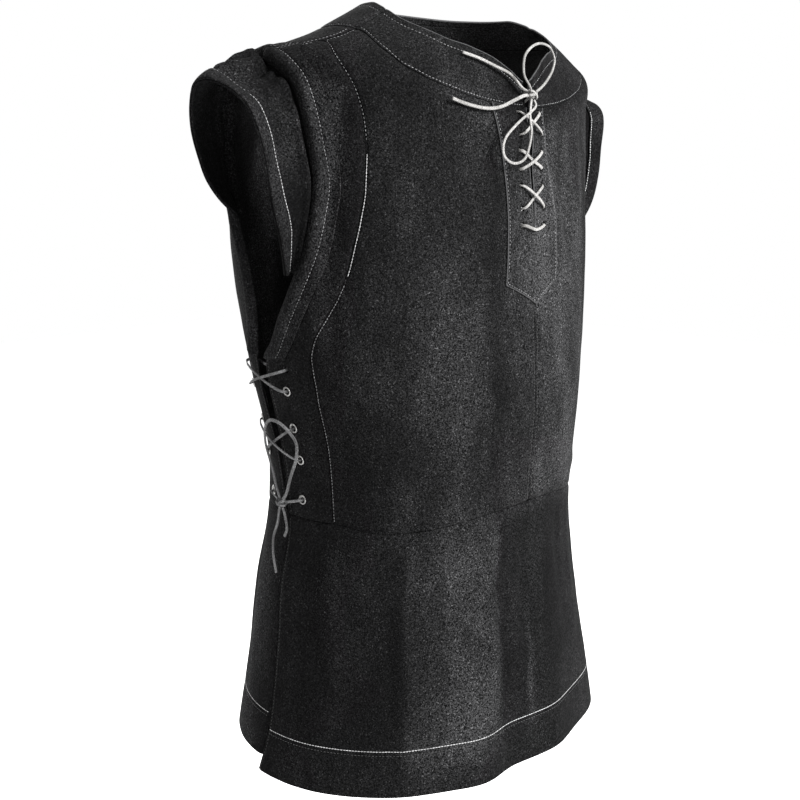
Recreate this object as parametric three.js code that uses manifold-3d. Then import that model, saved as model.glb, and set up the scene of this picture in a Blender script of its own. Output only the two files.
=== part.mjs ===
// A short leather jerkin in the medieval manner, worn and hollow, in millimetres with +Z up.
// The wearer faces -Y, so the wearer's right side is at -X. The origin lies midway between the
// shoulders, at the height where they carry the garment.
import * as THREE from 'three';
import { mergeVertices } from 'three/addons/utils/BufferGeometryUtils.js';
import Module from 'manifold-3d';

const wasm = await Module();
wasm.setup();

// Driving dimensions
const wall = 2.0;
const seamGap = 0.3;
const layerGap = 0.45;
const trimWall = 1.5;
const armholeBandWidth = 23;
const capBandWidth = 19;
const capWall = 1.6;
const laceRadius = 1.3;
const laceHoleRadius = 2.9;
const panelEyeletHole = 4.1;
const frontHoleFromCentre = 16;
const slitBottomZ = -189;
const slitTopZ = -20;
const slitHalfWidthBottom = 0.8;
const slitHalfWidthTop = 4.2;
const seamAngle = 0.05;
const seamStep = 0.003;
const collarStep = 0.006;

const sides = { right: -1, left: 1 };

const suede = { color: 0x29292c, roughness: 0.95, metalness: 0 };
const suedeTrim = { color: 0x313135, roughness: 0.92, metalness: 0 };
const paleThong = { color: 0xb9b5ad, roughness: 0.8, metalness: 0 };
const greyThong = { color: 0x5a5a5c, roughness: 0.85, metalness: 0 };
const nickel = { color: 0x9a9a9c, roughness: 0.35, metalness: 1 };

// The cut of the body. Each row is one level ring from the hem, at level 0, to the neck, at level 11.
// Columns: height at the front, at the sides and at the back, half width, depth in front of and
// behind the ring's centre, the centre's Y, and squareness, where 2 is an ellipse.
const rings = [
  [-711, -715, -682, 212, 174, 155, 26, 2.2],
  [-608, -619, -600, 195, 162, 144, 26, 2.2],
  [-521, -535, -523, 183, 153, 135, 26, 2.2],
  [-440, -467, -451, 172, 149, 125, 22, 2.2],
  [-360, -391, -378, 177, 150, 127, 18, 2.2],
  [-269, -310, -304, 193, 149, 137, 20, 2.2],
  [-204, -223, -225, 204, 148, 144, 24, 2.2],
  [-164, -137, -145, 212, 147, 144, 25, 2.05],
  [-124, -56, -88, 217, 138, 128, 20, 1.95],
  [-97, -28, -48, 209, 125, 112, 7, 1.95],
  [-75, -7, -10, 158, 106, 90, -8, 2.0],
  [-36, 22, 25, 101, 96, 66, -13, 1.9],
];

// Upright seams and edges. Columns: level, then the angle from the centre front, in degrees, of the
// princess seam, of the front's outer edge and of the back's outer edge. Both outer edges run up the
// laced side opening, round the armhole and, from level 8.95, along the shoulder seam. The last two
// columns are the inner edge of the armhole band on the front and on the back.
const uprights = [
  [3.15, 76.2, 95.0, 95.8, 86.8, 102.4],
  [3.6, 76.9, 96.0, 98.0, 87.6, 104.6],
  [4.15, 77.6, 97.2, 100.5, 88.6, 107.2],
  [4.68, 78.6, 97.2, 102.2, 88.9, 108.8],
  [5.13, 78.8, 95.5, 100.5, 87.0, 107.2],
  [5.32, 77.4, 91.2, 99.0, 83.5, 105.4],
  [5.56, 73.4, 87.4, 97.4, 79.6, 103.8],
  [5.8, 69.2, 83.4, 96.6, 75.9, 103.1],
  [6.05, 66.3, 79.8, 97.0, 72.6, 103.6],
  [6.3, 64.6, 77.0, 98.2, 70.3, 104.8],
  [6.65, 62.7, 74.8, 101.0, 68.4, 107.5],
  [7.0, 61.6, 73.5, 104.0, 67.3, 110.3],
  [7.35, 61.5, 74.6, 105.2, 68.3, 111.4],
  [7.7, 62.4, 76.4, 105.0, 70.1, 111.3],
  [8.05, 64.6, 79.1, 103.2, 72.2, 110.5],
  [8.4, 67.4, 83.4, 100.3, 74.8, 109.0],
  [8.7, 69.9, 87.8, 96.5, 77.6, 107.2],
  [8.95, 72.2, 91.0, 91.6, 80.4, 104.6],
  [9.15, 74.6, 87.9, 88.1, 82.6, 100.6],
  [9.35, 77.2, 85.2, 85.4, 84.1, 95.5],
  [9.5, 79.8, 83.4, 83.6, 81.8, 93.0],
  [9.62, 82.0, 82.1, 82.3, 81.0, 91.5],
  [9.9, 80.8, 80.9, 81.1, 79.0, 90.0],
  [10.15, 80.5, 80.6, 80.8, 79.0, 90.0],
  [10.45, 78.5, 78.6, 78.8, 77.0, 88.0],
  [11.0, 77.4, 77.5, 77.7, 76.0, 87.0],
];
const princess = 1;
const frontEdge = 2;
const backEdge = 3;
const frontBand = 4;
const backBand = 5;
const bandFoot = 5.13;
const bandHead = 9.35;
const shoulderTip = 8.95;
const princessTop = 9.5;

// Seams and edges that run round. Columns: angle from the centre front in degrees, level.
const waistSeam = [[0, 2.9], [40, 2.92], [60, 2.98], [76, 3.13], [95, 3.15], [120, 3.1], [180, 3.0]];
const collarSeam = [
  [0, 10.15], [10, 10.08], [20, 9.95], [29, 9.74], [41, 9.44], [50, 9.33], [57, 9.38],
  [66, 9.68], [80, 10.14], [100, 10.22], [130, 10.12], [180, 10.06],
];
const neckEdge = [
  [0, 10.68], [6, 10.78], [12, 10.9], [24, 11.0], [36, 10.92], [50, 10.72], [65, 10.65],
  [80, 10.85], [92, 11.0], [180, 11.0],
];

// Skirt side edges: level, angle of the front skirt's edge, angle of the back skirt's edge.
// Below level 0.5 they part at the side vent.
const skirtSides = [
  [0, 95.5, 96.6],
  [0.25, 94.0, 94.6],
  [0.5, 93.1, 93.4],
  [0.85, 93.3, 93.6],
  [1.42, 93.5, 93.8],
  [2.45, 95.1, 95.4],
  [3.15, 95.2, 95.5],
];

// The back skirt is cut a little shorter at its sides. Columns: angle, level of its hem.
const backHem = [[95, 0.16], [120, 0.155], [135, 0.08], [150, 0.02], [165, 0], [180, 0]];

// Placket outline: level, angle of its edge on the wearer's right, and on the left.
const placketSides = [
  [5.55, -15.8, 13.4],
  [6.0, -14.4, 14.9],
  [6.6, -13.9, 15.0],
  [7.2, -14.3, 13.6],
  [7.9, -15.6, 12.0],
  [8.5, -18.2, 10.6],
  [9.0, -21.0, 10.2],
  [9.5, -24.0, 11.0],
  [10.0, -26.0, 12.6],
];
const placketTipLevel = 5.22;
const placketCornerLevel = 5.55;

// Soft folds. Columns: angle, level at the bottom, level at the top, width in degrees, rise.
const folds = [
  [-27, 0, 2.5, 9, 6.5],
  [-13, 0, 2.2, 8, -5],
  [8, 0, 2.6, 9, 4.5],
  [-60, 0, 2.3, 14, -4],
  [44, 0, 2.4, 12, 4],
  [66, 0, 2.0, 9, -4],
  [112, 0, 2.4, 9, 4],
  [134, 0, 2.6, 10, -4.5],
  [158, 0, 2.3, 9, 5],
  [184, 0, 2.7, 11, -4],
  [208, 0, 2.4, 9, 5],
  [232, 0, 2.2, 11, -4],
];

// Cap sleeve on the wearer's right, from its lower front end over the shoulder to its lower back
// end. Columns: angle and level of the armhole edge, then X, Y and Z of the sleeve's rim.
const capRim = [
  [79.8, 6.05, -210, -8, -219],
  [77.0, 6.3, -219, -16, -205],
  [74.8, 6.65, -230, -24, -185],
  [73.5, 7.0, -241, -29, -162],
  [74.6, 7.35, -248, -31, -134],
  [76.4, 7.7, -253, -30, -105],
  [79.1, 8.05, -262, -27, -79],
  [83.4, 8.4, -271, -18, -64],
  [87.8, 8.7, -279, -1, -55],
  [91.4, 8.95, -280, 17, -56],
  [96.5, 8.7, -274, 31, -64],
  [100.3, 8.4, -266, 44, -78],
  [103.2, 8.05, -258, 53, -95],
  [105.0, 7.7, -249, 57, -115],
  [105.2, 7.35, -240, 58, -135],
  [104.0, 7.0, -228, 55, -153],
  [101.0, 6.65, -214, 50, -167],
];

// Lace hole levels beside the front slit, from the top down.
const slitHoleLevels = [9.95, 9.0, 8.45, 7.88, 7.52, 7.01, 6.61];

// Side opening holes as angle and level. The top one of each edge is plain, the rest have eyelets.
const sideHoles = {
  front: [[87.6, 5.02], [88.6, 4.77], [89.1, 4.32], [88.2, 3.92], [88.2, 3.4]],
  back: [[109, 5.02], [111, 4.72], [110, 4.28], [108, 3.88], [105.5, 3.36]],
};

// Free ends of the front lace: X, Y, Z.
const frontKnotAt = [-2.5, -121, -60];
const frontLoopUpper = [
  [-12, -125.5, -53], [-22, -126, -43], [-18, -123, -28], [-6, -120, -19], [10, -117, -13.5],
  [24, -115, -13], [35, -114, -16], [38.5, -116, -25], [32, -119, -35], [20, -122, -45], [8, -123.5, -53],
];
const frontLoopLower = [
  [-1, -124.5, -69], [-12, -126.5, -76], [-25, -127.5, -82], [-38, -127.5, -90], [-48, -126.5, -99],
  [-51, -126, -107], [-49, -126, -115], [-42, -127.5, -120.5], [-33, -128.5, -121.5],
  [-22, -129, -117], [-16, -129.5, -105], [-13, -129, -92], [-13.5, -127.5, -81], [-9, -124.5, -69.5],
];
const frontTailSide = [
  [-14, -120.5, -61], [-27, -119.5, -65.5], [-46, -118, -72], [-63, -115, -73.5], [-86, -110.5, -70],
  [-100, -107.5, -66],
];
const frontTailNeck = [
  [-13, -117.5, -54], [-19, -116.5, -49], [-28, -114.5, -42], [-40, -109, -36.5], [-57, -102, -29.5],
  [-73, -96, -25],
];

// Free ends of each side lace: angle, level, lift off the body.
const sideKnotAt = [96.1, 3.31, 7];
const sideLoop = [
  [93.2, 3.45, 8], [89.3, 3.75, 11], [86.1, 4.0, 12], [85.3, 4.21, 12], [87.3, 4.34, 12],
  [90.5, 4.43, 12], [94.5, 4.44, 12], [98.2, 4.31, 12], [99.8, 4.08, 12], [98.6, 3.9, 12],
  [97.8, 3.72, 11], [97.5, 3.58, 10], [97.3, 3.47, 8.5],
];
const sideTailLong = [
  [97.6, 3.19, 6], [98.8, 2.99, 5], [100.7, 2.74, 4.5], [99.2, 2.51, 4.5], [95.6, 2.26, 4.5],
];
const sideTailShort = [[94.7, 3.19, 6.5], [94.2, 3.08, 5.5], [93.8, 2.95, 4.5], [94.6, 2.83, 4.5]];

const radians = (degrees) => (degrees * Math.PI) / 180;
const mix = (a, b, t) => a + (b - a) * t;
const clamp = (x, low, high) => Math.min(high, Math.max(low, x));

function hermite(x0, y0, m0, x1, y1, m1, x) {
  const h = x1 - x0;
  const t = (x - x0) / h;
  const a = 2 * t ** 3 - 3 * t ** 2 + 1;
  const b = t ** 3 - 2 * t ** 2 + t;
  const c = -2 * t ** 3 + 3 * t ** 2;
  const d = t ** 3 - t ** 2;
  return a * y0 + b * h * m0 + c * y1 + d * h * m1;
}

// A smooth value from a table whose first column is the key.
function lookUp(table, key, column = 1) {
  const last = table.length - 1;
  const x = clamp(key, table[0][0], table[last][0]);
  let i = 0;
  while (i < last - 1 && x > table[i + 1][0]) i += 1;
  const slope = (k) => (table[k + 1][column] - table[k][column]) / (table[k + 1][0] - table[k][0]);
  const tangent = (k) => {
    if (k === 0) return slope(0);
    if (k === last) return slope(last - 1);
    const before = slope(k - 1);
    const after = slope(k);
    return before * after <= 0 ? 0 : (2 * before * after) / (before + after);
  };
  return hermite(
    table[i][0], table[i][column], tangent(i),
    table[i + 1][0], table[i + 1][column], tangent(i + 1), x,
  );
}

// The ring at any level, by a Catmull-Rom curve through the rows.
function ringAt(level) {
  const last = rings.length - 1;
  const u = clamp(level, 0, last);
  const i = Math.min(Math.floor(u), last - 1);
  const f = u - i;
  const row = (k) => rings[clamp(k, 0, last)];
  return rings[0].map((unused, c) => {
    const p1 = row(i)[c];
    const p2 = row(i + 1)[c];
    const p0 = i === 0 ? 2 * p1 - p2 : row(i - 1)[c];
    const p3 = i + 2 > last ? 2 * p2 - p1 : row(i + 2)[c];
    const cubic = 3 * p1 - p0 - 3 * p2 + p3;
    const square = 2 * p0 - 5 * p1 + 4 * p2 - p3;
    return 0.5 * (2 * p1 + (p2 - p0) * f + square * f * f + cubic * f ** 3);
  });
}

function bodyPoint(angle, level) {
  const [frontZ, sideZ, backZ, width, front, back, centreY, power] = ringAt(level);
  const s = Math.sin(radians(angle));
  const c = Math.cos(radians(angle));
  const depth = c > 0 ? front : back;
  const r = (Math.abs(s / width) ** power + Math.abs(c / depth) ** power) ** (-1 / power);
  const z = sideZ + ((c > 0 ? frontZ : backZ) - sideZ) * c * c;
  return new THREE.Vector3(r * s, centreY - r * c, z);
}

function bodyNormal(angle, level) {
  const low = Math.max(0, level - 0.02);
  const high = Math.min(11, level + 0.02);
  const around = bodyPoint(angle + 0.2, level).sub(bodyPoint(angle - 0.2, level));
  const upward = bodyPoint(angle, high).sub(bodyPoint(angle, low));
  return around.cross(upward).normalize();
}

function foldRise(angle, level) {
  let rise = 0;
  for (const [at, bottom, top, width, height] of folds) {
    const turn = ((((angle - at) % 360) + 540) % 360) - 180;
    const fade = clamp((top - level) / (top - bottom), 0, 1);
    rise += height * Math.exp(-((turn / width) ** 2)) * fade * fade * (3 - 2 * fade);
  }
  return rise;
}

// A point of the cloth, lifted off the body's outer face.
function skin(angle, level, lift) {
  const rise = lift + foldRise(angle, level);
  return bodyPoint(angle, level).addScaledVector(bodyNormal(angle, level), rise);
}

function geometryOf(positions, index) {
  const geometry = new THREE.BufferGeometry();
  geometry.setAttribute('position', new THREE.Float32BufferAttribute(positions, 3));
  geometry.setIndex(index);
  return geometry;
}

function volumeOf(positions, index) {
  const corner = (k) => new THREE.Vector3().fromArray(positions, 3 * k);
  let sum = 0;
  for (let k = 0; k < index.length; k += 3) {
    sum += corner(index[k]).dot(corner(index[k + 1]).cross(corner(index[k + 2])));
  }
  return sum / 6;
}

// A closed wall between two equal grids of points.
function wallBetween(outer, inner) {
  const rows = outer.length;
  const columns = outer[0].length;
  const positions = [];
  for (const grid of [outer, inner]) for (const row of grid) for (const p of row) positions.push(p.x, p.y, p.z);
  const at = (layer, r, c) => layer * rows * columns + r * columns + c;
  const index = [];
  const quad = (a, b, c, d) => index.push(a, b, c, a, c, d);
  for (let r = 0; r < rows - 1; r += 1) {
    for (let c = 0; c < columns - 1; c += 1) {
      quad(at(0, r, c), at(0, r, c + 1), at(0, r + 1, c + 1), at(0, r + 1, c));
      quad(at(1, r, c), at(1, r + 1, c), at(1, r + 1, c + 1), at(1, r, c + 1));
    }
  }
  for (let c = 0; c < columns - 1; c += 1) {
    quad(at(0, 0, c), at(1, 0, c), at(1, 0, c + 1), at(0, 0, c + 1));
    quad(at(0, rows - 1, c), at(0, rows - 1, c + 1), at(1, rows - 1, c + 1), at(1, rows - 1, c));
  }
  for (let r = 0; r < rows - 1; r += 1) {
    quad(at(0, r, 0), at(0, r + 1, 0), at(1, r + 1, 0), at(1, r, 0));
    quad(at(0, r, columns - 1), at(1, r, columns - 1), at(1, r + 1, columns - 1), at(0, r + 1, columns - 1));
  }
  if (volumeOf(positions, index) < 0) index.reverse();
  return geometryOf(positions, index);
}

// A panel of the body. columns is a list that gives each column's angle at a level, levelOf gives
// the level of a row from the levels at which its column starts and ends, and bottomAt and topAt
// give those from the angle.
function panel({ rows, columns, levelOf, bottomAt, topAt }, low, high) {
  const settle = (angleAt, guess, levelAt) => {
    let level = guess;
    for (let pass = 0; pass < 8; pass += 1) level = levelAt(angleAt(level));
    return level;
  };
  const outer = [];
  const inner = [];
  for (let r = 0; r < rows; r += 1) {
    outer.push([]);
    inner.push([]);
    for (const angleAt of columns) {
      const level = levelOf(r, settle(angleAt, 3, bottomAt), settle(angleAt, 10, topAt));
      outer[r].push(skin(angleAt(level), level, high));
      inner[r].push(skin(angleAt(level), level, low));
    }
  }
  return wallBetween(outer, inner);
}

// Columns spread evenly between two edges.
function evenColumns(count, edgeA, edgeB) {
  const column = (k) => (level) => mix(edgeA(level), edgeB(level), k / (count - 1));
  return Array.from({ length: count }, (unused, k) => column(k));
}

const evenAngle = (angle) => {
  const turn = ((angle % 360) + 360) % 360;
  return turn > 180 ? 360 - turn : turn;
};
const waistAt = (angle) => lookUp(waistSeam, evenAngle(angle));
const backHemAt = (angle) => lookUp(backHem, evenAngle(angle));
const collarAt = (angle) => lookUp(collarSeam, evenAngle(angle));
const neckAt = (angle) => lookUp(neckEdge, evenAngle(angle));
const uprightAt = (level, column) => lookUp(uprights, level, column);

function toSolid(geometry) {
  const bare = geometry.clone();
  bare.deleteAttribute('normal');
  bare.deleteAttribute('uv');
  const merged = mergeVertices(bare, 1e-4);
  return new wasm.Manifold(new wasm.Mesh({
    numProp: 3,
    vertProperties: new Float32Array(merged.attributes.position.array),
    triVerts: new Uint32Array(merged.index.array),
  }));
}

function cut(geometry, tools) {
  let solid = toSolid(geometry);
  for (const tool of tools) solid = solid.subtract(toSolid(tool));
  const mesh = solid.getMesh();
  return geometryOf(Array.from(mesh.vertProperties), Array.from(mesh.triVerts));
}

const turnTo = (normal) => new THREE.Quaternion().setFromUnitVectors(new THREE.Vector3(0, 1, 0), normal);

function punch(angle, level, radius) {
  const tool = new THREE.CylinderGeometry(radius, radius, 16, 8);
  tool.applyQuaternion(turnTo(bodyNormal(angle, level)));
  const at = bodyPoint(angle, level);
  return tool.translate(at.x, at.y, at.z);
}

// The wedge that opens the centre front from the neck down.
function slitWedge() {
  const shape = new THREE.Shape([
    new THREE.Vector2(-slitHalfWidthBottom, slitBottomZ),
    new THREE.Vector2(slitHalfWidthBottom, slitBottomZ),
    new THREE.Vector2(slitHalfWidthTop, slitTopZ),
    new THREE.Vector2(-slitHalfWidthTop, slitTopZ),
  ]);
  const wedge = new THREE.ExtrudeGeometry(shape, { depth: 120, bevelEnabled: false });
  return wedge.rotateX(Math.PI / 2).translate(0, -60, 0);
}

const slitHoleAngle = (level) => THREE.MathUtils.radToDeg(Math.atan(frontHoleFromCentre / ringAt(level)[4]));

const jerkin = new THREE.Group();
jerkin.name = 'jerkin';

function add(name, geometry, look) {
  const mesh = new THREE.Mesh(geometry, new THREE.MeshStandardMaterial(look));
  mesh.name = name;
  jerkin.add(mesh);
}

// Rows from the waist seam through fixed levels, then spread up to the collar seam. The spread rows
// are named by the level they have at the shoulder seam, where the panels meet.
const fixedLevels = uprights.map((row) => row[0]).filter((level) => level > 3.2 && level < 8.8);
const shoulderLevels = [8.95, 9.15, 9.35, 9.5, 9.62, 9.9];
const shoulderTop = 10.134;

function rowsToCollar() {
  const last = fixedLevels[fixedLevels.length - 1];
  const shares = shoulderLevels.map((level) => (level - last) / (shoulderTop - last));
  shares.push(1);
  const levelOf = (r, bottom, top) => {
    if (r === 0) return bottom;
    if (r <= fixedLevels.length) return fixedLevels[r - 1];
    return mix(last, top, shares[r - 1 - fixedLevels.length]);
  };
  return { rows: 1 + fixedLevels.length + shares.length, levelOf };
}

// Columns of the front, from the centre to the princess seam.
function frontColumns(sign) {
  return evenColumns(9, () => sign * seamAngle, (level) => sign * (uprightAt(level, princess) - seamAngle));
}

// Columns from an outer edge, over the armhole band's inner edge, to a third line.
function edgeColumns(sign, edge, band, gap) {
  const outer = (level) => sign * (uprightAt(level, edge) + gap);
  const inner = (level) => sign * uprightAt(level, band);
  return [outer, (level) => mix(outer(level), inner(level), 0.5), inner];
}

// Columns of the back, from the wearer's left edge to the right one.
function backColumns() {
  const left = edgeColumns(1, backEdge, backBand, seamAngle);
  const right = left.map((column) => (level) => 360 - column(level)).reverse();
  const between = evenColumns(10, left[2], right[0]).slice(1, -1);
  return [...left, ...between, ...right];
}

const aboveWaist = (angle) => waistAt(angle) + seamStep;
const belowWaist = (angle) => waistAt(angle) - seamStep;
const belowCollar = (angle) => collarAt(angle) - collarStep;
const aboveCollar = (angle) => collarAt(angle) + collarStep;

function addFront(side, sign) {
  const centre = panel({
    ...rowsToCollar(),
    columns: frontColumns(sign),
    bottomAt: aboveWaist,
    topAt: belowCollar,
  }, -wall, 0);
  const tools = slitHoleLevels.map((level) => punch(sign * slitHoleAngle(level), level, laceHoleRadius));
  add(`front_${side}`, cut(centre, [slitWedge(), ...tools]), suede);
}

function addSideFront(side, sign) {
  const levels = uprights.map((row) => row[0]).filter((level) => level > 3.2 && level <= princessTop);
  const outward = edgeColumns(sign, frontEdge, frontBand, -seamAngle).reverse();
  const seam = (level) => sign * (uprightAt(level, princess) + seamAngle);
  const wallPiece = panel({
    rows: levels.length + 1,
    columns: [seam, (level) => mix(seam(level), outward[0](level), 0.5), ...outward],
    levelOf: (r, bottom) => (r === 0 ? bottom : levels[r - 1]),
    bottomAt: aboveWaist,
    topAt: belowCollar,
  }, -wall, 0);
  const tools = sideHoles.front.map(([angle, level], k) => {
    return punch(sign * angle, level, k === 0 ? laceHoleRadius : panelEyeletHole);
  });
  add(`side_front_${side}`, cut(wallPiece, tools), suede);
}

function addBack() {
  const wallPiece = panel({
    ...rowsToCollar(),
    columns: backColumns(),
    bottomAt: aboveWaist,
    topAt: belowCollar,
  }, -wall, 0);
  const tools = [];
  for (const sign of Object.values(sides)) {
    sideHoles.back.forEach(([angle, level], k) => {
      tools.push(punch(sign * angle, level, k === 0 ? laceHoleRadius : panelEyeletHole));
    });
  }
  add('back', cut(wallPiece, tools), suede);
}

function addSkirt(name, edgeA, edgeB, hemAt) {
  const levels = [0.25, 0.5, 0.9, 1.45, 2.0, 2.55];
  const skirt = panel({
    rows: levels.length + 2,
    columns: evenColumns(21, edgeA, edgeB),
    levelOf: (r, bottom, top) => (r === 0 ? bottom : levels[r - 1] ?? top),
    bottomAt: hemAt,
    topAt: belowWaist,
  }, -wall, 0);
  add(name, skirt, suede);
}

function addSkirts() {
  const front = (level) => lookUp(skirtSides, level, 1) - seamAngle;
  const back = (level) => lookUp(skirtSides, level, 2) + seamAngle;
  addSkirt('skirt_front', (level) => -front(level), front, () => 0);
  addSkirt('skirt_back', back, (level) => 360 - back(level), backHemAt);
}

function addCollar() {
  const band = (columns) => panel({
    rows: 3,
    columns,
    levelOf: (r, bottom, top) => mix(bottom, top, r / 2),
    bottomAt: aboveCollar,
    topAt: neckAt,
  }, -wall, 0);
  for (const [side, sign] of Object.entries(sides)) {
    add(`collar_front_${side}`, cut(band(frontColumns(sign)), [slitWedge()]), suedeTrim);
  }
  add('collar_back', band(backColumns()), suedeTrim);
}

function addPlacket() {
  const rows = 12;
  const bottomAt = (angle) => {
    const corner = lookUp(placketSides, placketCornerLevel, angle < 0 ? 1 : 2);
    return mix(placketTipLevel, placketCornerLevel, clamp(angle / corner, 0, 1));
  };
  const side = (column) => (level) => lookUp(placketSides, level, column);
  const flat = panel({
    rows,
    columns: [...evenColumns(4, side(1), () => 0), ...evenColumns(4, () => 0, side(2)).slice(1)],
    levelOf: (r, bottom, top) => mix(bottom, top, r / (rows - 1)),
    bottomAt,
    topAt: (angle) => collarAt(angle) - 0.02,
  }, layerGap, layerGap + trimWall);
  const tools = [slitWedge()];
  for (const sign of Object.values(sides)) {
    for (const level of slitHoleLevels) tools.push(punch(sign * slitHoleAngle(level), level, laceHoleRadius));
  }
  add('placket', cut(flat, tools), suedeTrim);
}

// The band round one armhole, in a front and a back half that meet at the shoulder seam.
function addArmholeBand(side, sign) {
  const levels = uprights.map((row) => row[0]).filter((level) => level >= bandFoot && level <= bandHead);
  const half = (columns) => panel({
    rows: levels.length,
    columns,
    levelOf: (r) => levels[r],
    bottomAt: () => bandFoot,
    topAt: () => bandHead,
  }, layerGap, layerGap + trimWall);
  const front = edgeColumns(sign, frontEdge, frontBand, -seamAngle).reverse();
  const back = edgeColumns(sign, backEdge, backBand, seamAngle);
  if (sign < 0) back.reverse();
  add(`armhole_band_front_${side}`, half(front), suedeTrim);
  add(`armhole_band_back_${side}`, half(back), suedeTrim);
}

// The direction on the body, square to an edge path, that leads away from the opening.
function awayFromOpening(path, k, sign) {
  const [a0, u0] = path[Math.max(0, k - 1)];
  const [a1, u1] = path[Math.min(path.length - 1, k + 1)];
  const along = bodyPoint(a1, u1).sub(bodyPoint(a0, u0)).normalize();
  const normal = bodyNormal(...path[k]);
  return along.cross(normal).normalize().multiplyScalar(-sign);
}

// Middle surface of a cap sleeve: rows run round the armhole, columns from the seam to the rim.
function capSurface(sign) {
  const path = capRim.map(([angle, level]) => [sign * angle, level]);
  return capRim.map(([angle, level, x, y, z], k) => {
    const edge = bodyPoint(sign * angle, level);
    const normal = bodyNormal(sign * angle, level);
    const out = awayFromOpening(path, k, sign).negate();
    const under = -(wall + seamGap + capWall / 2 + 1.5);
    const spot = (reach, lift) => edge.clone().addScaledVector(out, reach).addScaledVector(normal, lift);
    const rim = new THREE.Vector3(-sign * x, y, z);
    const bend = spot(5.5, under + 2.3);
    const span = rim.distanceTo(bend);
    const pull = out.clone().multiplyScalar(0.62).addScaledVector(normal, 0.78).multiplyScalar(0.5 * span);
    const arc = new THREE.QuadraticBezierCurve3(bend, bend.clone().add(pull), rim);
    const band = Math.min(capBandWidth, 0.55 * span) / span;
    return [spot(-3.5, under), spot(1.2, under), bend, arc.getPoint((1 - band) / 2), arc.getPoint(1 - band), rim];
  });
}

function gridNormals(grid) {
  const rows = grid.length;
  const columns = grid[0].length;
  return grid.map((row, r) => row.map((p, c) => {
    const along = grid[Math.min(r + 1, rows - 1)][c].clone().sub(grid[Math.max(r - 1, 0)][c]);
    const across = grid[r][Math.min(c + 1, columns - 1)].clone().sub(grid[r][Math.max(c - 1, 0)]);
    return across.cross(along).normalize();
  }));
}

function lifted(grid, normals, lift) {
  return grid.map((row, r) => row.map((p, c) => p.clone().addScaledVector(normals[r][c], lift)));
}

function addCap(side, sign) {
  const middle = capSurface(sign);
  const normals = gridNormals(middle);
  const facing = Math.sign(normals[9][4].x * sign) || 1;
  const half = (facing * capWall) / 2;
  add(`cap_${side}`, wallBetween(lifted(middle, normals, half), lifted(middle, normals, -half)), suede);
  const last = middle[0].length;
  const strip = (lift) => lifted(middle, normals, facing * lift).map((row) => row.slice(last - 2));
  const bottom = capWall / 2 + layerGap;
  add(`cap_band_${side}`, wallBetween(strip(bottom + trimWall), strip(bottom)), suedeTrim);
}

// A metal eyelet: a barrel through the wall under a rounded flange.
function addEyelet(name, angle, level) {
  const profile = [[2.9, -2.4], [3.5, -2.4], [3.5, 0.5], [5.6, 0.5], [5.1, 1.3], [2.9, 1.3], [2.9, -2.4]];
  const ring = new THREE.LatheGeometry(profile.map(([r, y]) => new THREE.Vector2(r, y)), 8);
  ring.applyQuaternion(turnTo(bodyNormal(angle, level)));
  const at = bodyPoint(angle, level);
  ring.translate(at.x, at.y, at.z);
  ring.deleteAttribute('normal');
  ring.deleteAttribute('uv');
  const merged = mergeVertices(ring, 1e-3);
  const positions = Array.from(merged.attributes.position.array);
  const index = Array.from(merged.index.array);
  if (volumeOf(positions, index) < 0) index.reverse();
  add(name, geometryOf(positions, index), nickel);
}

function thong(points, steps) {
  return thongAlong(new THREE.CatmullRomCurve3(points, false, 'centripetal'), steps);
}

function thongAlong(path, steps) {
  const round = new THREE.Shape();
  const cornerCount = 8;
  for (let k = 0; k < cornerCount; k += 1) {
    const turn = (2 * Math.PI * k) / cornerCount;
    const x = laceRadius * Math.cos(turn);
    const y = laceRadius * Math.sin(turn);
    if (k === 0) round.moveTo(x, y);
    else round.lineTo(x, y);
  }
  round.closePath();
  return new THREE.ExtrudeGeometry(round, { steps, extrudePath: path, bevelEnabled: false });
}

// A path that is stepped at its own points, which lie close at each hole and far apart between.
class ThreadPath extends THREE.CatmullRomCurve3 {
  getSpacedPoints() {
    return this.getPoints(this.points.length - 1);
  }

  getTangentAt(share) {
    return this.getTangent(share);
  }
}

function threaded(points) {
  return thongAlong(new ThreadPath(points, false, 'centripetal'), points.length - 1);
}

// Points of a thong that passes a hole from one face to the other. from and toward are the points
// it comes from and goes to, and outside and inside are its lifts on the two faces.
function passHole([angle, level], from, toward, outside, inside, inward) {
  const normal = bodyNormal(angle, level);
  const lean = 1.9;
  const beside = (target, lift, reach) => {
    const spot = skin(angle, level, lift);
    const way = target.clone().sub(spot);
    way.addScaledVector(normal, -way.dot(normal));
    return spot.addScaledVector(way.normalize(), reach);
  };
  const first = inward ? outside : inside;
  const second = inward ? inside : outside;
  return [
    beside(from, first, lean),
    skin(angle, level, (outside + inside) / 2),
    beside(toward, second, lean),
  ];
}

// Threads a thong through holes in turn, changing faces at each. bridges gives points to pass
// between two holes, by the number of the hole before them.
function threadThrough({ start, holes, end, outside, inside, bridges, firstInward }) {
  const spots = holes.map(([angle, level]) => skin(angle, level, 0));
  const points = [...start];
  holes.forEach((hole, k) => {
    const inward = firstInward ? k % 2 === 0 : k % 2 === 1;
    const from = k === 0 ? start[start.length - 1] : (bridges[k - 1] || [spots[k - 1]]).slice(-1)[0];
    const toward = k === holes.length - 1 ? end[0] : (bridges[k] || [spots[k + 1]])[0];
    points.push(...passHole(hole, from, toward, outside, inside, inward));
    if (bridges[k] && k < holes.length - 1) points.push(...bridges[k]);
  });
  points.push(...end);
  return points;
}

// A tied knot at a centre, flattened along the cloth's normal.
const knotRadii = new THREE.Vector3(5.7, 3.6, 4.5);

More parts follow.
